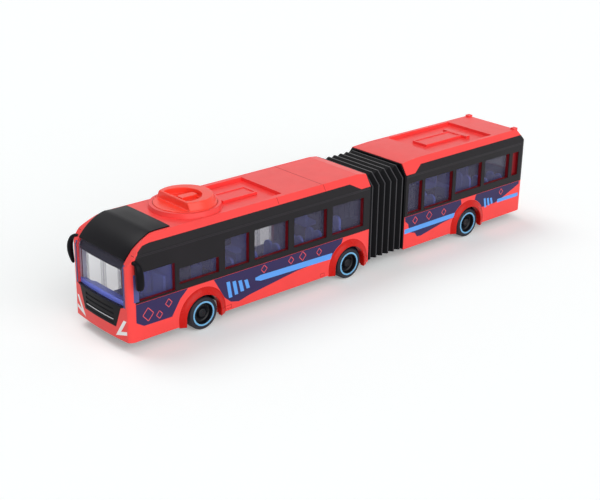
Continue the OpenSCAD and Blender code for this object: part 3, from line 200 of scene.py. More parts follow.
def plastic(name, colour, rough, mottle, grain=0.0, grain_scale=1800.0, rough_vary=0.06,
            coat=0.0, specular=0.5, alpha=1.0):
    """Moulded plastic: colour drifts a little, the gloss varies and the skin has a fine grain."""
    mat = bpy.data.materials.new(name)
    mat.use_nodes = True
    tree = mat.node_tree
    bsdf = tree.nodes["Principled BSDF"]
    coord = tree.nodes.new("ShaderNodeTexCoord")
    drift = tree.nodes.new("ShaderNodeTexNoise")
    drift.inputs["Scale"].default_value = MOTTLE_SCALE
    drift.inputs["Detail"].default_value = 3.0
    tree.links.new(coord.outputs["Object"], drift.inputs["Vector"])
    ramp = tree.nodes.new("ShaderNodeValToRGB")
    ramp.color_ramp.elements[0].position = 0.3
    ramp.color_ramp.elements[1].position = 0.7
    low = [max(0.0, c * (1 - mottle)) for c in colour]
    high = [min(1.0, c * (1 + mottle)) for c in colour]
    ramp.color_ramp.elements[0].color = (*low, 1)
    ramp.color_ramp.elements[1].color = (*high, 1)
    tree.links.new(drift.outputs["Fac"], ramp.inputs["Fac"])
    tree.links.new(ramp.outputs["Color"], bsdf.inputs["Base Color"])
    gloss = tree.nodes.new("ShaderNodeMapRange")
    gloss.inputs["To Min"].default_value = max(0.02, rough - rough_vary)
    gloss.inputs["To Max"].default_value = min(1.0, rough + rough_vary)
    smear = tree.nodes.new("ShaderNodeTexNoise")
    smear.inputs["Scale"].default_value = MOTTLE_SCALE * SMEAR_FINER
    smear.inputs["Detail"].default_value = 4.0
    tree.links.new(coord.outputs["Object"], smear.inputs["Vector"])
    tree.links.new(smear.outputs["Fac"], gloss.inputs["Value"])
    tree.links.new(gloss.outputs["Result"], bsdf.inputs["Roughness"])
    if grain > 0:
        fine = tree.nodes.new("ShaderNodeTexNoise")
        fine.inputs["Scale"].default_value = grain_scale
        fine.inputs["Detail"].default_value = 2.0
        tree.links.new(coord.outputs["Object"], fine.inputs["Vector"])
        bump = tree.nodes.new("ShaderNodeBump")
        bump.inputs["Strength"].default_value = grain
        bump.inputs["Distance"].default_value = GRAIN_DEPTH
        tree.links.new(fine.outputs["Fac"], bump.inputs["Height"])
        tree.links.new(bump.outputs["Normal"], bsdf.inputs["Normal"])
    bsdf.inputs["Specular IOR Level"].default_value = specular
    bsdf.inputs["Coat Weight"].default_value = coat
    bsdf.inputs["Coat Roughness"].default_value = COAT_ROUGH
    bsdf.inputs["Alpha"].default_value = alpha
    return mat


MATERIALS = {
    "red": plastic("red_plastic", srgb(247, 69, 67), 0.34, mottle=0.035, grain=0.06,
                   grain_scale=700.0, specular=0.28),
    "flare": plastic("arch_red_plastic", srgb(198, 20, 12), 0.26, mottle=0.04, grain=0.05,
                     grain_scale=700.0, specular=0.18),
    # Dark red painted shade for the window reveals and the door jambs, which lie in shade
    "shaded_reveal": plastic("reveal_red_painted_shade", srgb(124, 12, 22), 0.4, mottle=0.06, grain=0.06,
                      grain_scale=700.0, specular=0.25),
    # Dark grey painted shade on the shell's inner faces, where the inside lies in shade
    "interior_shade": plastic("interior_painted_shade", srgb(60, 57, 74), 0.55, mottle=0.06, grain=0.1,
                      grain_scale=1200.0, specular=0.2),
    # Pale painted light on the far pillar inside the nose, which shows bright through the
    # windscreen
    "pillar_light": plastic("pillar_painted_light", srgb(208, 205, 218), 0.4, mottle=0.03, grain=0.05,
                    grain_scale=1200.0, specular=0.25),
    "knob_red": plastic("knob_red_plastic", srgb(255, 68, 50), 0.32, mottle=0.03, grain=0.05,
                        grain_scale=700.0, specular=0.4),
    "band": plastic("band_print", srgb(24, 21, 25), 0.42, mottle=0.1, grain=0.08,
                    grain_scale=2600.0, rough_vary=0.05, specular=0.18),
    # Lighter black on the bands' thin raised lines: painted highlight along them
    "band_line_highlight": plastic("band_line_painted_highlight", srgb(50, 46, 51), 0.4, mottle=0.08, grain=0.06,
                         grain_scale=2600.0, specular=0.25),
    "cap": plastic("cap_gloss", srgb(15, 14, 19), 0.3, mottle=0.08, grain=0.03,
                   grain_scale=500.0, rough_vary=0.05, specular=0.08),
    "bellows": plastic("bellows_rubber", srgb(13, 13, 16), 0.45, mottle=0.12, grain=0.15,
                       grain_scale=1500.0, rough_vary=0.08, specular=0.09),
    # Lighter black on the bellows' crests: painted highlight
    "bellows_crest_highlight": plastic("bellows_crest_highlight", srgb(48, 47, 51), 0.36, mottle=0.1, grain=0.1,
                             grain_scale=1500.0, rough_vary=0.08, specular=0.3),
    "chassis": plastic("chassis_black", srgb(22, 22, 26), 0.5, mottle=0.1, grain=0.25,
                       grain_scale=1400.0, specular=0.25),
    "tyre": plastic("tyre_black", srgb(38, 36, 44), 0.55, mottle=0.1, grain=0.3,
                    grain_scale=1300.0, rough_vary=0.08, specular=0.25),
    "rim": plastic("rim_black", srgb(14, 15, 21), 0.35, mottle=0.1, grain=0.1,
                   grain_scale=1300.0, specular=0.25),
    "ring": plastic("ring_blue", srgb(112, 178, 222), 0.35, mottle=0.04, grain=0.05),
    "seat": plastic("seat_blue", srgb(108, 126, 240), 0.45, mottle=0.06, grain=0.2,
                    grain_scale=1700.0),
    # The seats' blue darkened: painted shade on the inside floor
    "deck_in_shade": plastic("deck_blue_painted_shade", srgb(58, 58, 96), 0.5, mottle=0.06, grain=0.2,
                    grain_scale=1700.0, specular=0.25),
    "lamp_white": plastic("lamp_white", srgb(246, 246, 246), 0.25, mottle=0.02, grain=0.03),
    "lamp_red": plastic("lamp_red", srgb(170, 18, 16), 0.16, mottle=0.08, grain=0.04, coat=0.5),
    "plate": plastic("plate_white", srgb(236, 236, 234), 0.45, mottle=0.03, grain=0.05),
    "sign": plastic("sign_black", srgb(12, 12, 16), 0.5, mottle=0.06, grain=0.06,
                    specular=0.15),
    "navy": plastic("livery_navy", srgb(46, 36, 82), 0.42, mottle=0.06, grain=0.05,
                    grain_scale=2600.0, specular=0.25),
    "sky": plastic("livery_sky", srgb(92, 160, 240), 0.4, mottle=0.03, grain=0.05,
                   grain_scale=2600.0, specular=0.3),
    "line": plastic("livery_line", srgb(224, 84, 88), 0.42, mottle=0.03, grain=0.05,
                    specular=0.3),
    "seam": plastic("seam_red", srgb(182, 34, 32), 0.4, mottle=0.04, grain=0.05,
                    specular=0.15),
    "silver": plastic("silver_print", srgb(206, 208, 214), 0.28, mottle=0.04, grain=0.03),
    "screen_rim": plastic("screen_rim_tint", srgb(84, 80, 130), 0.22, mottle=0.06,
                          rough_vary=0.04, specular=0.2),
    "quarter": plastic("quarter_pane_tint", srgb(80, 84, 138), 0.16, mottle=0.08,
                       rough_vary=0.04, specular=0.2),
    "screen": plastic("screen_clear", srgb(140, 136, 176), 0.06, mottle=0.03,
                      rough_vary=0.02, specular=0.12, alpha=0.05),
    "pane": plastic("pane_smoked", srgb(92, 90, 114), 0.06, mottle=0.03,
                    rough_vary=0.02, specular=0.3, alpha=0.32),
    "pane_dark": plastic("pane_dark", srgb(48, 46, 62), 0.08, mottle=0.04,
                         rough_vary=0.02, specular=0.3, alpha=0.72),
    "door_clear": plastic("door_clear", srgb(200, 198, 210), 0.08, mottle=0.03,
                          rough_vary=0.02, specular=0.25, alpha=0.08),
    "door_edge": plastic("door_edge_clear", srgb(186, 184, 200), 0.16, mottle=0.04, grain=0.03,
                         rough_vary=0.03, specular=0.35, alpha=0.2),
    "steel": plastic("pin_steel", srgb(186, 188, 192), 0.3, mottle=0.06, grain=0.05),
}
MATERIALS["steel"].node_tree.nodes["Principled BSDF"].inputs["Metallic"].default_value = 1.0

NODE_MATERIALS = {
    "red": ["front_nose", "front_side_left", "front_side_right", "front_roof",
            "rear_side_left", "rear_side_right", "rear_roof", "tail_panel"],
    "knob_red": ["steering_knob"],
    "band": ["front_bands", "rear_bands"],
    "cap": ["grille", "steering_wheel"],
    "sign": ["sign_board"],
    "screen": ["windscreen"],
    "pane": ["front_side_panes", "rear_side_panes"],
    "pane_dark": ["rear_window"],
    "lamp_white": ["running_lamps"],
    "lamp_red": ["tail_lamps"],
    "plate": ["number_plate"],
    "seat": ["front_seats", "driver_cab", "dashboard", "rear_seats"],
    "deck_in_shade": ["front_floor", "rear_floor"],
    "chassis": ["front_chassis", "rear_chassis", "tie_rod", "knuckle_left", "knuckle_right"],
    "steel": ["pivot_pin", "middle_axle", "rear_axle"],
}
# Nodes that meet edge to edge, which keep their sharp edges
CLOSE_FITTED = ("front_nose", "front_roof")
# Width of the rounded edges on the other carried-over nodes, in mm, by material
EDGE = {"red": 0.14, "knob_red": 0.5, "cap": 0.15, "seat": 0.35, "deck_in_shade": 0.3, "chassis": 0.25,
        "lamp_red": 0.15, "steel": 0.15}


def dress_nodes():
    """Finishes and rounded edges of the CAD nodes that stay."""
    for key, names in NODE_MATERIALS.items():
        for name in names:
            node = NODES[name]
            node.data.materials.clear()
            node.data.materials.append(MATERIALS[key])
            if key in EDGE and name not in CLOSE_FITTED:
                round_edges(node, EDGE[key])


def paint_faces(name, key, chosen):
    """Second finish on the faces of a node that chosen(centre in mm, normal) picks."""
    mesh = NODES[name].data
    mesh.materials.append(MATERIALS[key])
    for face in mesh.polygons:
        if chosen(face.center / MM, face.normal):
            face.material_index = len(mesh.materials) - 1


# Limits of the walls' painted shade, painted light and black sill, in mm
DOOR_FOOT_Z = 13.0
REVEAL_TOP_Z = 68.0
CEILING_Z = 60.0
CEILING_HALF = 29.0
SILL_Z = (31.0, 33.0)
PILLAR_LIGHT_X = 187.0
PILLAR_LIGHT_Y = -27.5
NOSE_SKIN = 1.2
TAIL_SHADE_SPAN = (1.2, 5.8)
KNOB_FOOT_Z = 74.5


def paint_walls():
    """Dark painted shade inside and on the window reveals, arch flares, pale painted light on a
    pillar and a black sill.
    """
    axles = {"front": (FRONT_AXLE_X, MIDDLE_AXLE_X), "rear": (REAR_AXLE_X,)}

    def inward(c, n):
        return n.y * c.y < 0 and abs(n.y) > 0.5

    # Window reveals and, on the right side, the door jambs: faces that get dark red painted shade
    def shaded_reveal(c, n):
        foot = BAND_Z if c.y > 0 else DOOR_FOOT_Z
        return abs(c.y) < SIDE_Y - 0.3 and foot < c.z < REVEAL_TOP_Z and not inward(c, n)

    def ceiling(c, n):
        return n.z < -0.3 and c.z > CEILING_Z and abs(c.y) < CEILING_HALF

    for section, places in axles.items():
        def arch(c, n, places=places):
            near = min(math.hypot(c.x - x - ARCH_LEAD, c.z - AXLE_Z) for x in places)
            return abs(c.y) > SIDE_Y + 0.02 or (near < ARCH_R + 0.2 and abs(n.y) < 0.5)
        for side in ("left", "right"):
            name = "%s_side_%s" % (section, side)
            # Dark grey painted shade on the inner faces of the side walls
            paint_faces(name, "interior_shade", inward)
            paint_faces(name, "shaded_reveal", shaded_reveal)
            paint_faces(name, "flare", arch)
            if name == "front_side_right":
                # Pale painted light on the far pillar's inner faces
                paint_faces(name, "pillar_light", lambda c, n: inward(c, n) and c.x > PILLAR_LIGHT_X)
        # Dark grey painted shade under the roof
        paint_faces(section + "_roof", "interior_shade", ceiling)
    # Dark grey painted shade on the nose's inner faces
    paint_faces("front_nose", "interior_shade",
                lambda c, n: n.x < -0.5 and SEAM_X < c.x < NOSE_X - NOSE_SKIN)
    paint_faces("front_nose", "cap", lambda c, n: n.z > 0.5 and SILL_Z[0] < c.z < SILL_Z[1])
    # Pale painted light on the nose's inner corner on the far side
    paint_faces("front_nose", "pillar_light",
                lambda c, n: c.y < PILLAR_LIGHT_Y and n.y > 0.3 and c.z > SILL_Z[0])
    # Dark grey painted shade inside the tail panel
    paint_faces("tail_panel", "interior_shade",
                lambda c, n: n.x > 0.5 and TAIL_SHADE_SPAN[0] < c.x - TAIL_X < TAIL_SHADE_SPAN[1])
    # Dark grey painted shade on the knob's foot below the roof
    paint_faces("steering_knob", "interior_shade", lambda c, n: c.z < KNOB_FOOT_Z)


def round_edges(node, width):
    """Rounded edges by modifiers; the node's own mesh stays as it is."""
    weld = node.modifiers.new("weld", "WELD")
    weld.merge_threshold = 2e-6
    edge = node.modifiers.new("edge", "BEVEL")
    edge.width = width * MM
    edge.segments = 2
    edge.limit_method = "ANGLE"
    edge.angle_limit = math.radians(32)
    edge.use_clamp_overlap = False
    edge.miter_outer = "MITER_ARC"
    normal = node.modifiers.new("normal", "WEIGHTED_NORMAL")
    normal.weight = 80


# Helpers for the scene's own pieces; all sizes in mm

def new_piece(name, bm, material, sharp=35.0):
    """Object from a bmesh in mm: edges sharper than the given angle stay crisp."""
    bmesh.ops.recalc_face_normals(bm, faces=bm.faces)
    bmesh.ops.scale(bm, vec=(MM, MM, MM), verts=bm.verts)
    for face in bm.faces:
        face.smooth = True
    for edge in bm.edges:
        edge.smooth = edge.calc_face_angle(math.pi) < math.radians(sharp)
    mesh = bpy.data.meshes.new(name)
    bm.to_mesh(mesh)
    bm.free()
    mesh.materials.append(material)
    piece = bpy.data.objects.new(name, mesh)
    bpy.context.scene.collection.objects.link(piece)
    return piece


def lathe(bm, profile, place, steps=72):
    """Turned shape about an axis along Y.

    The profile holds (radius, y). It starts and ends at radius 0, or ends where it starts.
    """
    rings = []
    for radius, y in profile:
        if radius == 0:
            rings.append([bm.verts.new(place(0, y, 0))])
        else:
            rings.append([bm.verts.new(place(radius * math.cos(a), y, radius * math.sin(a)))
                          for a in (2 * math.pi * k / steps for k in range(steps))])
    for low, high in zip(rings, rings[1:]):
        for k in range(steps):
            n = (k + 1) % steps
            if len(low) == 1:
                bm.faces.new((low[0], high[n], high[k]))
            elif len(high) == 1:
                bm.faces.new((low[k], low[n], high[0]))
            else:
                bm.faces.new((low[k], low[n], high[n], high[k]))


def tube(bm, rings):
    """Faces of a closed tube through rings of the same count, with flat ends."""
    for a, b in zip(rings, rings[1:]):
        for k in range(len(a)):
            n = (k + 1) % len(a)
            bm.faces.new((a[k], a[n], b[n], b[k]))
    bm.faces.new(rings[0])
    bm.faces.new(rings[-1])


def slab(bm, low, high):
    """Faces of a closed sheet between two grids of the same size."""
    for grid in (low, high):
        for a, b in zip(grid, grid[1:]):
            for k in range(len(a) - 1):
                bm.faces.new((a[k], a[k + 1], b[k + 1], b[k]))
    for end in (0, -1):
        for k in range(len(low[0]) - 1):
            bm.faces.new((low[end][k], low[end][k + 1], high[end][k + 1], high[end][k]))
        for k in range(len(low) - 1):
            bm.faces.new((low[k][end], low[k + 1][end], high[k + 1][end], high[k][end]))


def side_plate(bm, outline, side, thickness):
    """Thin plate with an (x, z) outline on the left (1) or right (-1) side wall."""
    tube(bm, [[bm.verts.new((x, side * (SIDE_Y + out), z)) for x, z in outline]
              for out in (-PRINT_DEPTH, thickness)])


def rectangle(x0, x1, z0, z1):
    return [(x0, z0), (x1, z0), (x1, z1), (x0, z1)]


# Bellows

BELLOWS_HALF = 31.7
BELLOWS_TOP = 75.4
BELLOWS_CORNER = 99.1
BELLOWS_FOOT = 9.0
BELLOWS_WALL = 1.3
FOLDS = 6
FOLD_DEPTH = 3.0
STEPS_PER_FOLD = 12
# Share of a fold that its flat crest takes
CREST = 1 / 6


def bellows_section(inset):
    """Points (y, z) of the arch from the right foot over the roof to the left foot."""
    half = BELLOWS_HALF - inset
    top = BELLOWS_TOP - inset
    corner = BELLOWS_CORNER - inset * math.sqrt(2)
    bend_z = corner - half
    bend_y = corner - top
    right = [(-half, BELLOWS_FOOT + (bend_z - BELLOWS_FOOT) * k / 10) for k in range(11)]
    slope = [(-half + (half - bend_y) * k / 4, bend_z + (top - bend_z) * k / 4)
             for k in range(1, 5)]
    roof = [(-bend_y + 2 * bend_y * k / 10, top) for k in range(1, 10)]
    left = [(-y, z) for y, z in right + slope]
    return right + slope + roof + left[::-1]


def fold_inset(turn):
    """Distance of the skin below the crest, by its place within a fold from 0 to 1."""
    wave = abs(2 * turn - 1)
    return FOLD_DEPTH * max(0.0, wave - CREST) / (1 - CREST)


def add_bellows():
    """Folded skin with a painted highlight on its crests, its end frames and the floor inside it.
    """
    bm = bmesh.new()
    length = FRONT_END_X - REAR_START_X - 0.3
    count = FOLDS * STEPS_PER_FOLD
    layers = []
    for wall in (0.0, BELLOWS_WALL):
        rows = []
        for k in range(count + 1):
            inset = fold_inset((k % STEPS_PER_FOLD) / STEPS_PER_FOLD)
            x = FRONT_END_X - length * k / count
            rows.append([bm.verts.new((x, y, z)) for y, z in bellows_section(inset + wall)])
        layers.append(rows)
    slab(bm, *layers)
    piece = new_piece("bellows_skin", bm, MATERIALS["bellows"], sharp=20.0)
    piece.data.materials.append(MATERIALS["bellows_crest_highlight"])
    # The outer faces of the flat crests take the painted highlight
    crest_half = length / FOLDS * CREST / 2
    for face in piece.data.polygons:
        turn = (FRONT_END_X - face.center.x / MM) / (length / FOLDS) % 1
        outside = face.normal.y * face.center.y > 0 or face.normal.z > 0.3
        if abs(turn - 0.5) * length / FOLDS < crest_half and outside:
            face.material_index = 1
    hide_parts("bellows")
    bend(piece)
    add_bellows_frames()
    add_gangway_floor()


def bend(piece):
    """Bakes the piece's transform into its mesh."""
    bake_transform(piece)


# Outline (y, z) of the rigid end frames: over the roof from right to left, and back inside
FRAME_OUTER = [(-32.2, 9.0), (-32.2, 68.2), (-26.3, 76.4), (26.3, 76.4), (32.2, 68.2),
               (32.2, 9.0)]
FRAME_INNER = [(27.6, 9.0), (27.6, 66.6), (24.0, 71.6), (-24.0, 71.6), (-27.6, 66.6),
               (-27.6, 9.0)]
FRAME_T = 1.3
FRAME_GAP = 0.02


def add_bellows_frames():
    """Rigid frames that hold the bellows at the two sections."""
    outline = FRAME_OUTER + FRAME_INNER
    count = len(outline)
    for section, x0, x1 in (("front", FRONT_END_X - FRAME_T, FRONT_END_X - FRAME_GAP),
                            ("rear", REAR_START_X + FRAME_GAP, REAR_START_X + FRAME_T)):
        bm = bmesh.new()
        ends = [[bm.verts.new((x, y, z)) for y, z in outline] for x in (x0, x1)]
        for k in range(count):
            n = (k + 1) % count
            bm.faces.new((ends[0][k], ends[0][n], ends[1][n], ends[1][k]))
        for end in ends:
            for k in range(len(FRAME_OUTER) - 1):
                bm.faces.new((end[k], end[k + 1], end[count - 2 - k], end[count - 1 - k]))
        crisp = [e for e in bm.edges if e.calc_face_angle(0) > 0.6]
        bmesh.ops.bevel(bm, geom=crisp, offset=0.25, segments=2, affect="EDGES", profile=0.6)
        frame_piece = new_piece("bellows_frame_" + section, bm, MATERIALS["bellows"])
        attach(frame_piece, section + "_section")


GANGWAY_HALF = 28.4
GANGWAY_Z = (15.6, 17.0)
GANGWAY_RIB = 0.25
GANGWAY_STEPS = 48


def add_gangway_floor():
    """Ribbed soft floor between the sections, inside the bellows."""
    bm = bmesh.new()
    half = GANGWAY_HALF
    base, top = GANGWAY_Z
    length = FRONT_END_X - REAR_START_X
    rows = []
    for k in range(GANGWAY_STEPS + 1):
        x = FRONT_END_X - length * k / GANGWAY_STEPS
        rib = GANGWAY_RIB if k % 4 in (1, 2) else 0.0
        rows.append([bm.verts.new(v) for v in ((x, -half, base), (x, half, base),
                                               (x, half, top + rib), (x, -half, top + rib))])
    tube(bm, rows)
    bend(new_piece("gangway_floor", bm, MATERIALS["chassis"], sharp=20.0))


# Wheels

def wheel_profile():
    """Half section of a wheel, (radius, y) from the blind bore round the tyre to the hub."""
    r, h = WHEEL_R, WHEEL_W / 2
    face = h + TYRE_BULGE
    section = [(0, 2.2), (1.65, 2.2), (1.65, -h + 0.2), (2.0, -h), (6.8, -h), (7.2, -h + 0.4),
               (7.4, -h + 1.3), (8.4, -h + 1.3), (8.6, -h + 0.4), (9.0, -h), (10.6, -h),
               (11.2, -h + 0.25), (11.6, -h + 0.7), (r, -h + 1.2)]
    for groove in (-1.4, 0.2, 1.8):
        section += [(r, groove - 0.3), (r - 0.45, groove - 0.2), (r - 0.45, groove + 0.2),
                    (r, groove + 0.3)]
    low, high = RING[0] - 0.02, RING[1] + 0.02
    section += [(r, face - 1.5), (11.62, face - 0.85), (11.2, face - 0.35), (10.6, face - 0.05),
                (10.3, face), (9.95, face), (9.85, face - 0.12), (9.65, face - 0.12),
                (9.55, face), (high + 0.1, face), (high, face - 0.1), (high, face - 0.6),
                (low, face - 0.6), (low, face - 0.1), (low - 0.1, face), (7.45, face - 0.1),
                (7.2, face - 0.5), (7.0, h - 1.9), (6.7, h - 2.3), (6.2, h - 2.6),
                (4.7, h - 2.65), (4.2, h - 2.5), (3.7, h - 2.1), (3.2, h - 1.0), (3.0, h - 0.5),
                (2.6, h - 0.25), (1.5, h - 0.25), (1.3, h - 0.5), (0, h - 0.55)]
    return section


def ring_profile():
    """Closed section of the light ring printed on a tyre."""
    face = WHEEL_W / 2 + TYRE_BULGE
    low, high = RING
    section = [(low, face - 0.58), (high, face - 0.58), (high, face - 0.1),
               (high - 0.1, face + 0.02), (low + 0.1, face + 0.02), (low, face - 0.1)]
    return section + section[:1]


def wheel_place(axle_x, side):
    """Function from a wheel's own x, y (outward) and z to its place on the bus."""
    def place(dx, y, dz):
        return (axle_x + dx, side * (WHEEL_Y + y), AXLE_Z + dz)
    return place


BOLTS = 8
BOLT_CIRCLE_R = 5.4


def add_wheel(bm, axle_x, side):
    """Tyre with its dished hub and a circle of bolts."""
    place = wheel_place(axle_x, side)
    lathe(bm, wheel_profile(), place)
    bolt_floor = WHEEL_W / 2 - 2.75
    for k in range(BOLTS):
        turn = 2 * math.pi * k / BOLTS
        cx, cz = BOLT_CIRCLE_R * math.cos(turn), BOLT_CIRCLE_R * math.sin(turn)

        def on_dish(dx, y, dz, cx=cx, cz=cz):
            return place(cx + dx, y, cz + dz)
        lathe(bm, [(0, bolt_floor), (0.62, bolt_floor), (0.62, bolt_floor + 0.45),
                   (0.45, bolt_floor + 0.62), (0, bolt_floor + 0.62)], on_dish, steps=12)


def add_wheels():
    wheels = {"front_wheel_left": (FRONT_AXLE_X, (1,), "front_wheel_left"),
              "front_wheel_right": (FRONT_AXLE_X, (-1,), "front_wheel_right"),
              "middle_wheels": (MIDDLE_AXLE_X, (-1, 1), "middle_wheelset"),
              "rear_wheels": (REAR_AXLE_X, (-1, 1), "rear_wheelset")}
    for node, (axle_x, sides, body) in wheels.items():
        bm = bmesh.new()
        for side in sides:
            add_wheel(bm, axle_x, side)
        piece = new_piece(node + "_tyre", bm, MATERIALS["tyre"], sharp=28.0)
        piece.data.materials.append(MATERIALS["rim"])
        for face in piece.data.polygons:
            dx = face.center.x / MM - axle_x
            dz = face.center.z / MM - AXLE_Z
            if math.hypot(dx, dz) < RING[0] and abs(face.center.y) / MM > WHEEL_Y - 0.5:
                face.material_index = 1
        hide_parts(node)
        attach(piece, body)
        ring_node = node.replace("wheels", "rings").replace("wheel", "ring")
        bm = bmesh.new()
        for side in sides:
            lathe(bm, ring_profile(), wheel_place(axle_x, side))
        bmesh.ops.remove_doubles(bm, verts=bm.verts, dist=1e-4)
        ring = new_piece(ring_node + "_print", bm, MATERIALS["ring"], sharp=28.0)
        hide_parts(ring_node)
        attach(ring, body)


# Doors

# Fore and aft edge of each doorway, and distance of the hinges from them
DOORWAYS = {"front": (190.0, 161.0), "middle": (52.0, 23.0), "rear": (-77.0, -106.0)}
HINGE_IN = 1.35
LEAF_Y = -31.3
LEAF_T = 2.0
LEAF_LENGTH = 12.975
LEAF_FRAME = 1.4
LEAF_Z = (12.85, 62.15)
HINGE_Z = (10.5, 64.5)


def add_box_ring(bm, x0, x1, z0, z1, y0, y1, border):
    """Rectangular frame lying in XZ with softened edges."""
    def ring(inset, y):
        a, b = x0 + inset, x1 - inset
        c, d = z0 + inset, z1 - inset
        return [bm.verts.new((x, y, z)) for x, z in ((a, c), (b, c), (b, d), (a, d))]
    loops = [ring(0, y0), ring(0, y1), ring(border, y1), ring(border, y0)]
    faces = []
    for a, b in zip(loops, loops[1:] + loops[:1]):
        for k in range(4):
            n = (k + 1) % 4
            faces.append(bm.faces.new((a[k], a[n], b[n], b[k])))
    edges = {e for f in faces for e in f.edges}
    sharp = [e for e in edges if e.calc_face_angle(0) > 0.5]
    bmesh.ops.bevel(bm, geom=sharp, offset=0.28, segments=2, affect="EDGES", profile=0.6)


def add_box(bm, low, high, soft=0.2):
    """Box with softened edges."""
    made = bmesh.ops.create_cube(bm, size=1.0)
    verts = made["verts"]
    for v in verts:
        v.co = [low[k] + (v.co[k] + 0.5) * (high[k] - low[k]) for k in range(3)]
    edges = list({e for v in verts for e in v.link_edges})
    bmesh.ops.bevel(bm, geom=edges, offset=soft, segments=2, affect="EDGES", profile=0.6)


def add_doors():
    """Clear leaves, each a frame with its hinge pin and a pane."""
    for door, (fore_x, aft_x) in DOORWAYS.items():
        for name, hinge_x, way in (("fore", fore_x - HINGE_IN, -1), ("aft", aft_x + HINGE_IN, 1)):
            body = "%s_door_%s" % (door, name)
            x0, x1 = sorted((hinge_x, hinge_x + way * LEAF_LENGTH))
            y0, y1 = LEAF_Y - LEAF_T / 2, LEAF_Y + LEAF_T / 2
            bm = bmesh.new()
            add_box_ring(bm, x0, x1, *LEAF_Z, y0, y1, LEAF_FRAME)

            def upright(r, along, s, hinge_x=hinge_x):
                return (hinge_x + r, LEAF_Y + s, along)
            lathe(bm, [(0, HINGE_Z[0]), (0.5, HINGE_Z[0]), (0.7, HINGE_Z[0] + 0.3),
                       (0.7, LEAF_Z[0]), (0.85, LEAF_Z[0]), (1.0, LEAF_Z[0] + 0.2),
                       (1.0, LEAF_Z[1] - 0.2), (0.85, LEAF_Z[1]), (0.7, LEAF_Z[1]),
                       (0.7, HINGE_Z[1] - 0.3), (0.5, HINGE_Z[1]), (0, HINGE_Z[1])],
                  upright, steps=24)
            leaf = new_piece(body + "_frame", bm, MATERIALS["door_edge"],
                             sharp=40.0)
            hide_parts(body)
            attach(leaf, body)
            bm = bmesh.new()
            edge = LEAF_FRAME - 0.3
            add_box(bm, (x0 + edge, LEAF_Y - 0.4, LEAF_Z[0] + edge),
                    (x1 - edge, LEAF_Y + 0.4, LEAF_Z[1] - edge), soft=0.1)
            pane = new_piece(body + "_pane", bm, MATERIALS["door_clear"])
            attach(pane, body)


# Mirrors

# Points along each mirror's arm and head, and the half width and depth at each point
MIRROR_SPINES = {
    "left": [(193.6, 29.0, 63.6), (193.2, 32.6, 63.8), (192.7, 35.2, 62.9), (192.3, 36.5, 60.0),
             (192.0, 36.9, 55.4), (191.9, 37.0, 50.4), (191.9, 36.6, 45.4)],
    "right": [(194.4, 29.0, 63.8), (195.6, 32.4, 63.4), (196.5, 35.2, 61.2), (197.0, 36.9, 57.0),
              (197.0, 37.3, 52.4), (196.6, 36.9, 47.8), (196.0, 35.6, 42.6)]}
MIRROR_HALVES = {
    "left": [(1.5, 1.7), (1.4, 1.6), (1.5, 1.9), (1.8, 2.6), (1.95, 2.9), (1.95, 2.9),
             (1.7, 2.5)],
    "right": [(1.5, 1.7), (1.4, 1.5), (1.5, 1.6), (1.75, 1.9), (1.85, 2.0), (1.5, 1.7),
              (0.8, 1.0)]}


MIRROR_ROWS = 40
MIRROR_AROUND = 28
# Below 1 the section is squarer than an ellipse; the tip rounds off over this many points
MIRROR_POWER = 0.75
MIRROR_TIP = 0.5


def spline(values, t):
    """Catmull-Rom value along a list, t from 0 to its last index."""
    k = min(int(t), len(values) - 2)
    u = t - k
    p = [values[min(max(i, 0), len(values) - 1)] for i in (k - 1, k, k + 1, k + 2)]
    return [0.5 * (2 * b + (c - a) * u + (2 * a - 5 * b + 4 * c - d) * u * u
                   + (3 * b - a - 3 * c + d) * u ** 3)
            for a, b, c, d in zip(*p)]


def add_mirrors():
    """Arm and head of each mirror as one rounded form."""
    for side, name in ((1, "left"), (-1, "right")):
        bm = bmesh.new()
        rows = []
        spine, halves = MIRROR_SPINES[name], MIRROR_HALVES[name]
        last = len(spine) - 1
        for k in range(MIRROR_ROWS + 1):
            t = last * k / MIRROR_ROWS
            centre = Vector(spline(spine, t))
            ahead = Vector(spline(spine, min(t + 0.05, last)))
            behind = Vector(spline(spine, max(t - 0.05, 0)))
            along = (ahead - behind).normalized()
            wide, deep = spline(halves, t)
            left_over = (MIRROR_ROWS - k) / MIRROR_ROWS * last
            tip = math.sqrt(max(0.0, 1 - max(0.0, 1 - left_over / MIRROR_TIP) ** 2))
            wide, deep = wide * max(tip, 0.05), deep * max(tip, 0.05)
            depth_way = Vector((1, 0, 0))
            depth_way = (depth_way - along * depth_way.dot(along)).normalized()
            width_way = along.cross(depth_way)
            row = []
            for i in range(MIRROR_AROUND):
                a = 2 * math.pi * i / MIRROR_AROUND
                c, s = math.cos(a), math.sin(a)
                p = centre + (depth_way * (deep * math.copysign(abs(c) ** MIRROR_POWER, c))
                              + width_way * (wide * math.copysign(abs(s) ** MIRROR_POWER, s)))
                row.append(bm.verts.new((p.x, side * p.y, p.z)))
            rows.append(row)
        tube(bm, rows)
        arm = new_piece("mirror_%s_arm" % name, bm, MATERIALS["cap"])
        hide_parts("mirror_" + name)
        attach(arm, "front_section")


# Nose: crowned cap over the header, trim on the grille, tinted sheets beside the glass

HEADER_R = 37.0
HEADER_Z = 57.0
HEADER_RUN = 24.0
ROOF_Z = 78.0
SCREEN_TOP_Z = 64.0
SCREEN_HALF = 27.0
NOSE_BOW_R = 260.0
CORNER_R = 7.0
# Cap: half width of its waist, where it narrows and over what run, and its rear end
CAP_WAIST = 24.8
CAP_NARROW_X = 183.0
CAP_NARROW_RUN = 14.0
CAP_END_X = 159.0
CAP_T = 0.7
CAP_CROWN = 0.6
CAP_SUNK = 0.4
CAP_ACROSS = 24
CURVE_STEPS = 18
FLAT_STEPS = 8


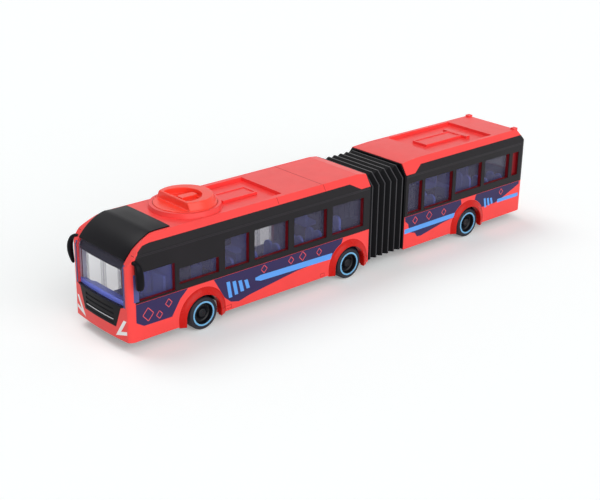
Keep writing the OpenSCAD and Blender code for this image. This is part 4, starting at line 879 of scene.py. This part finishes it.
def bow(y):
    """Distance by which the bowed nose falls back at y."""
    return NOSE_BOW_R - math.sqrt(NOSE_BOW_R ** 2 - y * y)


def cap_half(x):
    """Half width of the cap at x; it narrows from the windscreen to its waist."""
    wide, narrow = SCREEN_HALF - 0.5, CAP_WAIST
    share = min(max((CAP_NARROW_X - x) / CAP_NARROW_RUN, 0.0), 1.0)
    return wide + (narrow - wide) * share * share * (3 - 2 * share)


def header_arc():
    """End on the roof and centre (x, z) of the header's curve."""
    start, end = Vector((NOSE_X, HEADER_Z)), Vector((NOSE_X - HEADER_RUN, ROOF_Z))
    mid, way = (start + end) / 2, end - start
    left = Vector((-way.y, way.x)) / way.length
    return end, mid + left * math.sqrt(HEADER_R ** 2 - way.length ** 2 / 4)


def nose_surface(y, z):
    """Place x of the nose's outer surface, between its corners."""
    _, centre = header_arc()
    front = NOSE_X
    if z > HEADER_Z:
        front = centre.x + math.sqrt(HEADER_R ** 2 - (z - centre.y) ** 2)
    return min(front, NOSE_X - bow(y))


def header_path():
    """Points and outward normals (x, z) from the windscreen over the header to the roof."""
    top, centre = header_arc()
    start = math.asin((SCREEN_TOP_Z - centre.y) / HEADER_R)
    end = math.atan2(top.y - centre.y, top.x - centre.x)
    path = []
    for k in range(CURVE_STEPS + 1):
        a = start + (end - start) * k / CURVE_STEPS
        out = Vector((math.cos(a), math.sin(a)))
        path.append((centre + out * HEADER_R, out))
    for k in range(1, FLAT_STEPS + 1):
        x = top.x + (CAP_END_X - top.x) * k / FLAT_STEPS
        path.append((Vector((x, ROOF_Z)), Vector((0, 1))))
    return path


def add_cap():
    """Black cap from the windscreen over the header to the roof, with a slight crown."""
    bm = bmesh.new()
    path = header_path()
    skins = []
    for sunk in (False, True):
        rows = []
        for k, (point, out) in enumerate(path):
            half = cap_half(point.x)
            ends = min(k / 3, (len(path) - 1 - k) / 3, 1.0)
            row = []
            for i in range(CAP_ACROSS + 1):
                u = 2 * i / CAP_ACROSS - 1
                crown = CAP_T + CAP_CROWN * (1 - u ** 4) * (0.4 + 0.6 * ends)
                lift = -CAP_SUNK if sunk else crown
                x, z = point + out * lift
                limit = NOSE_X - 0.1 - bow(u * half) + min(lift, 0.0)
                row.append(bm.verts.new((min(x, limit), u * half, z)))
            rows.append(row)
        skins.append(rows)
    slab(bm, *skins)
    piece = new_piece("roof_cap_shell", bm, MATERIALS["cap"], sharp=50.0)
    edge = piece.modifiers.new("edge", "BEVEL")
    edge.width = 0.3 * MM
    edge.segments = 3
    edge.limit_method = "ANGLE"
    edge.angle_limit = math.radians(50)
    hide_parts("roof_cap")
    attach(piece, "front_section")


def bowed_bar(bm, rows, proud):
    """Bar across the nose from rows of (z, half width); it stands out of the bowed surface."""
    steps = 16
    slab(bm, *([[bm.verts.new((NOSE_X - bow(u * half) + out, u * half, z))
                 for u in (2 * i / steps - 1 for i in range(steps + 1))]
                for z, half in rows] for out in (-SKIN_DEPTH, proud)))


def side_surface(x):
    """Half width of the front section's outer surface at x, through the nose's corner."""
    ahead = max(x - (NOSE_X - CORNER_R), 0.0)
    return SIDE_Y - CORNER_R + math.sqrt(CORNER_R ** 2 - ahead ** 2)


def skin(bm, rows, place):
    """Thin sheet on a surface: rows of (u, v), and place(u, v, height above the surface)."""
    slab(bm, *([[bm.verts.new(place(u, v, out)) for u, v in row] for row in rows]
               for out in (-SKIN_DEPTH, LINE_T)))


# Rows (z, half width) of the black strip above the grille and of the bright line on it
STRIP_ROWS = [(30.9, 23.95), (31.4, 25.2), (32.05, 26.8)]
STRIP_T = 0.02
BRIGHT_ROWS = [(20.2, 15.0), (20.5, 16.2), (20.8, 15.6)]
BRIGHT_T = 0.03
# Opaque tinted sheets: the rims beside the windscreen, and ahead of the driver's window
RIM_Y = [SCREEN_HALF + 0.425 * i for i in range(5)]
RIM_Z = [32.0 + 2.0 * k for k in range(16)]
QUARTER_X = [190.1 + 0.4 * i for i in range(11)]
QUARTER_Z = (36.0, 42.5, 49.0, 55.5)


def add_nose_trim():
    bm = bmesh.new()
    bowed_bar(bm, STRIP_ROWS, STRIP_T)
    strip = new_piece("grille_strip", bm, MATERIALS["cap"])
    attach(strip, "front_section")
    bm = bmesh.new()
    bowed_bar(bm, BRIGHT_ROWS, BRIGHT_T)
    line = new_piece("grille_line", bm, MATERIALS["silver"])
    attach(line, "front_section")
    bm = bmesh.new()
    for side in (-1, 1):
        skin(bm, [[(side * y, z) for y in RIM_Y] for z in RIM_Z],
             lambda y, z, out: (nose_surface(y, z) + out, y, z))
    rims = new_piece("windscreen_rims", bm, MATERIALS["screen_rim"])
    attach(rims, "front_section")
    bm = bmesh.new()
    skin(bm, [[(x, z) for x in QUARTER_X] for z in QUARTER_Z],
         lambda x, z, out: (x, side_surface(x) + out, z))
    quarter = new_piece("driver_quarter_pane", bm, MATERIALS["quarter"])
    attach(quarter, "front_section")


# Seams of the mouldings, and fine lines along the bands with a painted highlight

SEAM_DEPTH = 0.15
ROOF_SEAM = (26.0, 26.0, 0.4)
SLOPE_SEAMS_X = (25.0, 69.0)
SLOPE_SEAM_W = 0.35
# Upper and lower end (y, z) of a seam on the roof's slope
SLOPE_ENDS = ((26.6, 77.84), (29.3, 73.57))
BAND_LINES_X = {"front": (-16.8, 192.0), "rear": (-193.0, -56.6)}
BAND_LINES_Z = (66.6, 67.6)
BAND_LINE_HALF = 0.14


def seam_strip(bm, x, start, end, width):
    """Thin strip at x between two (y, z) points, lifted off the surface."""
    a, b, across = Vector((x, *start)), Vector((x, *end)), Vector((1, 0, 0))
    up = (b - a).cross(across).normalized()
    if up.z < 0:
        up = -up
    verts = [bm.verts.new(p + across * s * width / 2 + up * h)
             for h in (-SEAM_DEPTH, LINE_T) for p, s in ((a, -1), (a, 1), (b, 1), (b, -1))]
    tube(bm, [verts[:4], verts[4:]])


def add_seams():
    """Seams of the roof's mouldings, and two fine raised lines along each band with a painted
    highlight.
    """
    bm = bmesh.new()
    x, half, width = ROOF_SEAM
    seam_strip(bm, x, (-half, ROOF_Z), (half, ROOF_Z), width)
    for x in SLOPE_SEAMS_X:
        for side in (-1, 1):
            upper, lower = ((side * y, z) for y, z in SLOPE_ENDS)
            seam_strip(bm, x, upper, lower, SLOPE_SEAM_W)
    seams = new_piece("roof_seams", bm, MATERIALS["seam"])
    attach(seams, "front_section")
    for section, (x0, x1) in BAND_LINES_X.items():
        bm = bmesh.new()
        for side in (-1, 1):
            for z in BAND_LINES_Z:
                outline = rectangle(x0, x1, z - BAND_LINE_HALF, z + BAND_LINE_HALF)
                side_plate(bm, outline, side, LINE_T)
        lines = new_piece("band_lines_" + section, bm, MATERIALS["band_line_highlight"])
        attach(lines, section + "_section")


# Thin outlines of the moulding's latches low on the skirt: side, x and z from and to

SKIRT_MARKS = [(1, 114.2, 119.6, 9.4, 12.0), (-1, 114.2, 119.6, 9.4, 12.0),
               (1, 27.2, 31.4, 9.0, 11.6)]
SKIRT_LINE = 0.3


def add_skirt_marks():
    bm = bmesh.new()
    line = SKIRT_LINE
    for side, x0, x1, z0, z1 in SKIRT_MARKS:
        for bounds in ((x0, x1, z0, z0 + line), (x0, x1, z1 - line, z1),
                       (x0, x0 + line, z0, z1), (x1 - line, x1, z0, z1)):
            side_plate(bm, rectangle(*bounds), side, LINE_T)
    marks = new_piece("skirt_marks", bm, MATERIALS["seam"])
    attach(marks, "front_section")


# Livery: plain colour fields and stripes, with bars and diamond outlines on them

FIELD_T = 0.06
STRIPE_T = 0.1
MARK_T = 0.14
MARK_W = 0.5
FIELD_TOP = 34.5
# Radius at which a field stops around a wheel, and where the right side stops at its doors
FIELD_ARCH_R = 20.1
MIDDLE_DOOR_X = 53.2
REAR_DOOR_X = -75.8


def arch_arc(axle_x, from_deg, to_deg, count=9):
    """Points (x, z) of a field's edge around a wheel."""
    angles = [math.radians(from_deg + (to_deg - from_deg) * k / (count - 1))
              for k in range(count)]
    return [(axle_x + ARCH_LEAD + FIELD_ARCH_R * math.cos(a),
             AXLE_Z + FIELD_ARCH_R * math.sin(a)) for a in angles]


FIELD_A = [(192.8, FIELD_TOP), (192.8, 21.5), (187, 17.9), (164.5, 17.7), (157.6, 28.6),
           (151, FIELD_TOP)]
FIELD_B_FORE = [(129.5, FIELD_TOP), (120.3, 18.7), (114.8, 14), (108, 12.3), (98, 14.6),
                (54, 20.6)]
FIELD_B = (FIELD_B_FORE + [(30, 21.5), (19.5, 22.5)] + arch_arc(MIDDLE_AXLE_X, 32, 68)
           + [(9.2, FIELD_TOP)])
FIELD_B_RIGHT = FIELD_B_FORE + [(MIDDLE_DOOR_X, FIELD_TOP)]
FIELD_C_FORE = [(-56.4, FIELD_TOP), (-57, 31), (-60.5, 28), (-62, 21), (-68.5, 19)]
FIELD_C = (FIELD_C_FORE + [(-71, 15.5), (-75.5, 15), (-100, 19.6), (-108, 20.5)]
           + arch_arc(REAR_AXLE_X, 27, 66) + [(-121, FIELD_TOP)])
FIELD_C_RIGHT = FIELD_C_FORE + [(REAR_DOOR_X, 18), (REAR_DOOR_X, FIELD_TOP)]
FIELD_D = ([(-139.5, FIELD_TOP)] + arch_arc(REAR_AXLE_X, 113, 150)
           + [(-164, 21.8), (-175, 25), (-184.3, 28.4), (-193.8, 32), (-193.8, FIELD_TOP)])
STRIPE_B = [(93, 25.8), (93, 23.9), (88, 22.3), (21.3, 20.7), (19.6, 25.2), (88, 26.6)]
STRIPE_B_RIGHT = [(93, 25.8), (93, 23.9), (88, 22.3), (MIDDLE_DOOR_X, 21.5),
                  (MIDDLE_DOOR_X, 25.9), (88, 26.6)]
STRIPE_C = [(-56.6, 24.5), (-56.6, 20.7), (-113.3, 21), (-114.5, 24.9)]
STRIPE_C_RIGHT = [(-56.6, 24.5), (-56.6, 20.7), (REAR_DOOR_X, 20.8), (REAR_DOOR_X, 24.7)]
STRIPE_D = [(-167, 24.3), (-167, 21.2), (-193.6, 21.2), (-193.6, 24.3)]
# Diamonds: x, z, width and height; the right side has only those that clear its doors
DIAMONDS_FRONT = [(183.5, 25.2, 8.5, 9.5), (174.6, 22.4, 5.0, 5.6), (167.0, 28.5, 5.4, 6.0),
                  (85.0, 30.4, 5.4, 6.0), (60.0, 30.2, 5.0, 5.6), (49.0, 30.6, 6.4, 7.0),
                  (33.0, 29.6, 5.0, 5.6)]
DIAMONDS_FRONT_RIGHT = DIAMONDS_FRONT[3:5]
DIAMONDS_REAR = [(-68.0, 29.6, 5.4, 6.0), (-84.0, 29.8, 6.4, 7.0), (-101.0, 28.8, 5.0, 5.6),
                 (-171.0, 30.0, 4.6, 5.2)]
DIAMONDS_REAR_RIGHT = [DIAMONDS_REAR[0], DIAMONDS_REAR[3]]


def slanted_bar(x, z0, z1, width, lean):
    return [(x, z0), (x + width, z0), (x + width + lean, z1), (x + lean, z1)]


def stroke(a, b, width):
    """Outline of a straight line of even width between two (x, z) points."""
    dx, dz = b[0] - a[0], b[1] - a[1]
    run = math.hypot(dx, dz)
    nx, nz = -dz / run * width / 2, dx / run * width / 2
    return [(a[0] + nx, a[1] + nz), (b[0] + nx, b[1] + nz),
            (b[0] - nx, b[1] - nz), (a[0] - nx, a[1] - nz)]


def diamond(x, z, width, height):
    """Four strokes around a slim upright square on its corner."""
    corners = [(x + width / 2, z), (x, z + height / 2), (x - width / 2, z), (x, z - height / 2)]
    return [stroke(corners[k], corners[(k + 1) % 4], MARK_W) for k in range(4)]


def add_livery():
    """Thin printed plates in layers, on both sides of both sections."""
    bars_front = [slanted_bar(113.5 - 5.2 * k, 17.2 + 0.9 * k, 29.5 - 0.9 * k, 3.0, 2.2)
                  for k in range(4)]
    bars_rear = [slanted_bar(-153.5 - 4.0 * k, 20.6 + 0.7 * k, 28.8 - 0.7 * k, 2.3, 1.8)
                 for k in range(3)]
    plan = {
        ("front", 1): ([FIELD_A, FIELD_B], [STRIPE_B], bars_front, DIAMONDS_FRONT),
        ("front", -1): ([FIELD_B_RIGHT], [STRIPE_B_RIGHT], bars_front, DIAMONDS_FRONT_RIGHT),
        ("rear", 1): ([FIELD_C, FIELD_D], [STRIPE_C, STRIPE_D], bars_rear, DIAMONDS_REAR),
        ("rear", -1): ([FIELD_C_RIGHT, FIELD_D], [STRIPE_C_RIGHT, STRIPE_D], bars_rear,
                       DIAMONDS_REAR_RIGHT),
    }
    side_names = {1: "left", -1: "right"}
    for (section, side), (fields, stripes, bars, diamonds) in plan.items():
        lines = [line for place in diamonds for line in diamond(*place)]
        layers = (("field", fields, FIELD_T, "navy"), ("stripe", stripes, STRIPE_T, "sky"),
                  ("bars", bars, STRIPE_T, "sky"), ("lines", lines, MARK_T, "line"))
        for layer, outlines, thickness, key in layers:
            bm = bmesh.new()
            for outline in outlines:
                side_plate(bm, outline, side, thickness)
            name = "livery_%s_%s_%s" % (section, side_names[side], layer)
            piece = new_piece(name, bm, MATERIALS[key])
            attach(piece, section + "_section")


aim_camera()
studio()
dress_nodes()
paint_walls()
add_bellows()
add_wheels()
add_doors()
add_mirrors()
add_cap()
add_nose_trim()
add_seams()
add_skirt_marks()
add_livery()
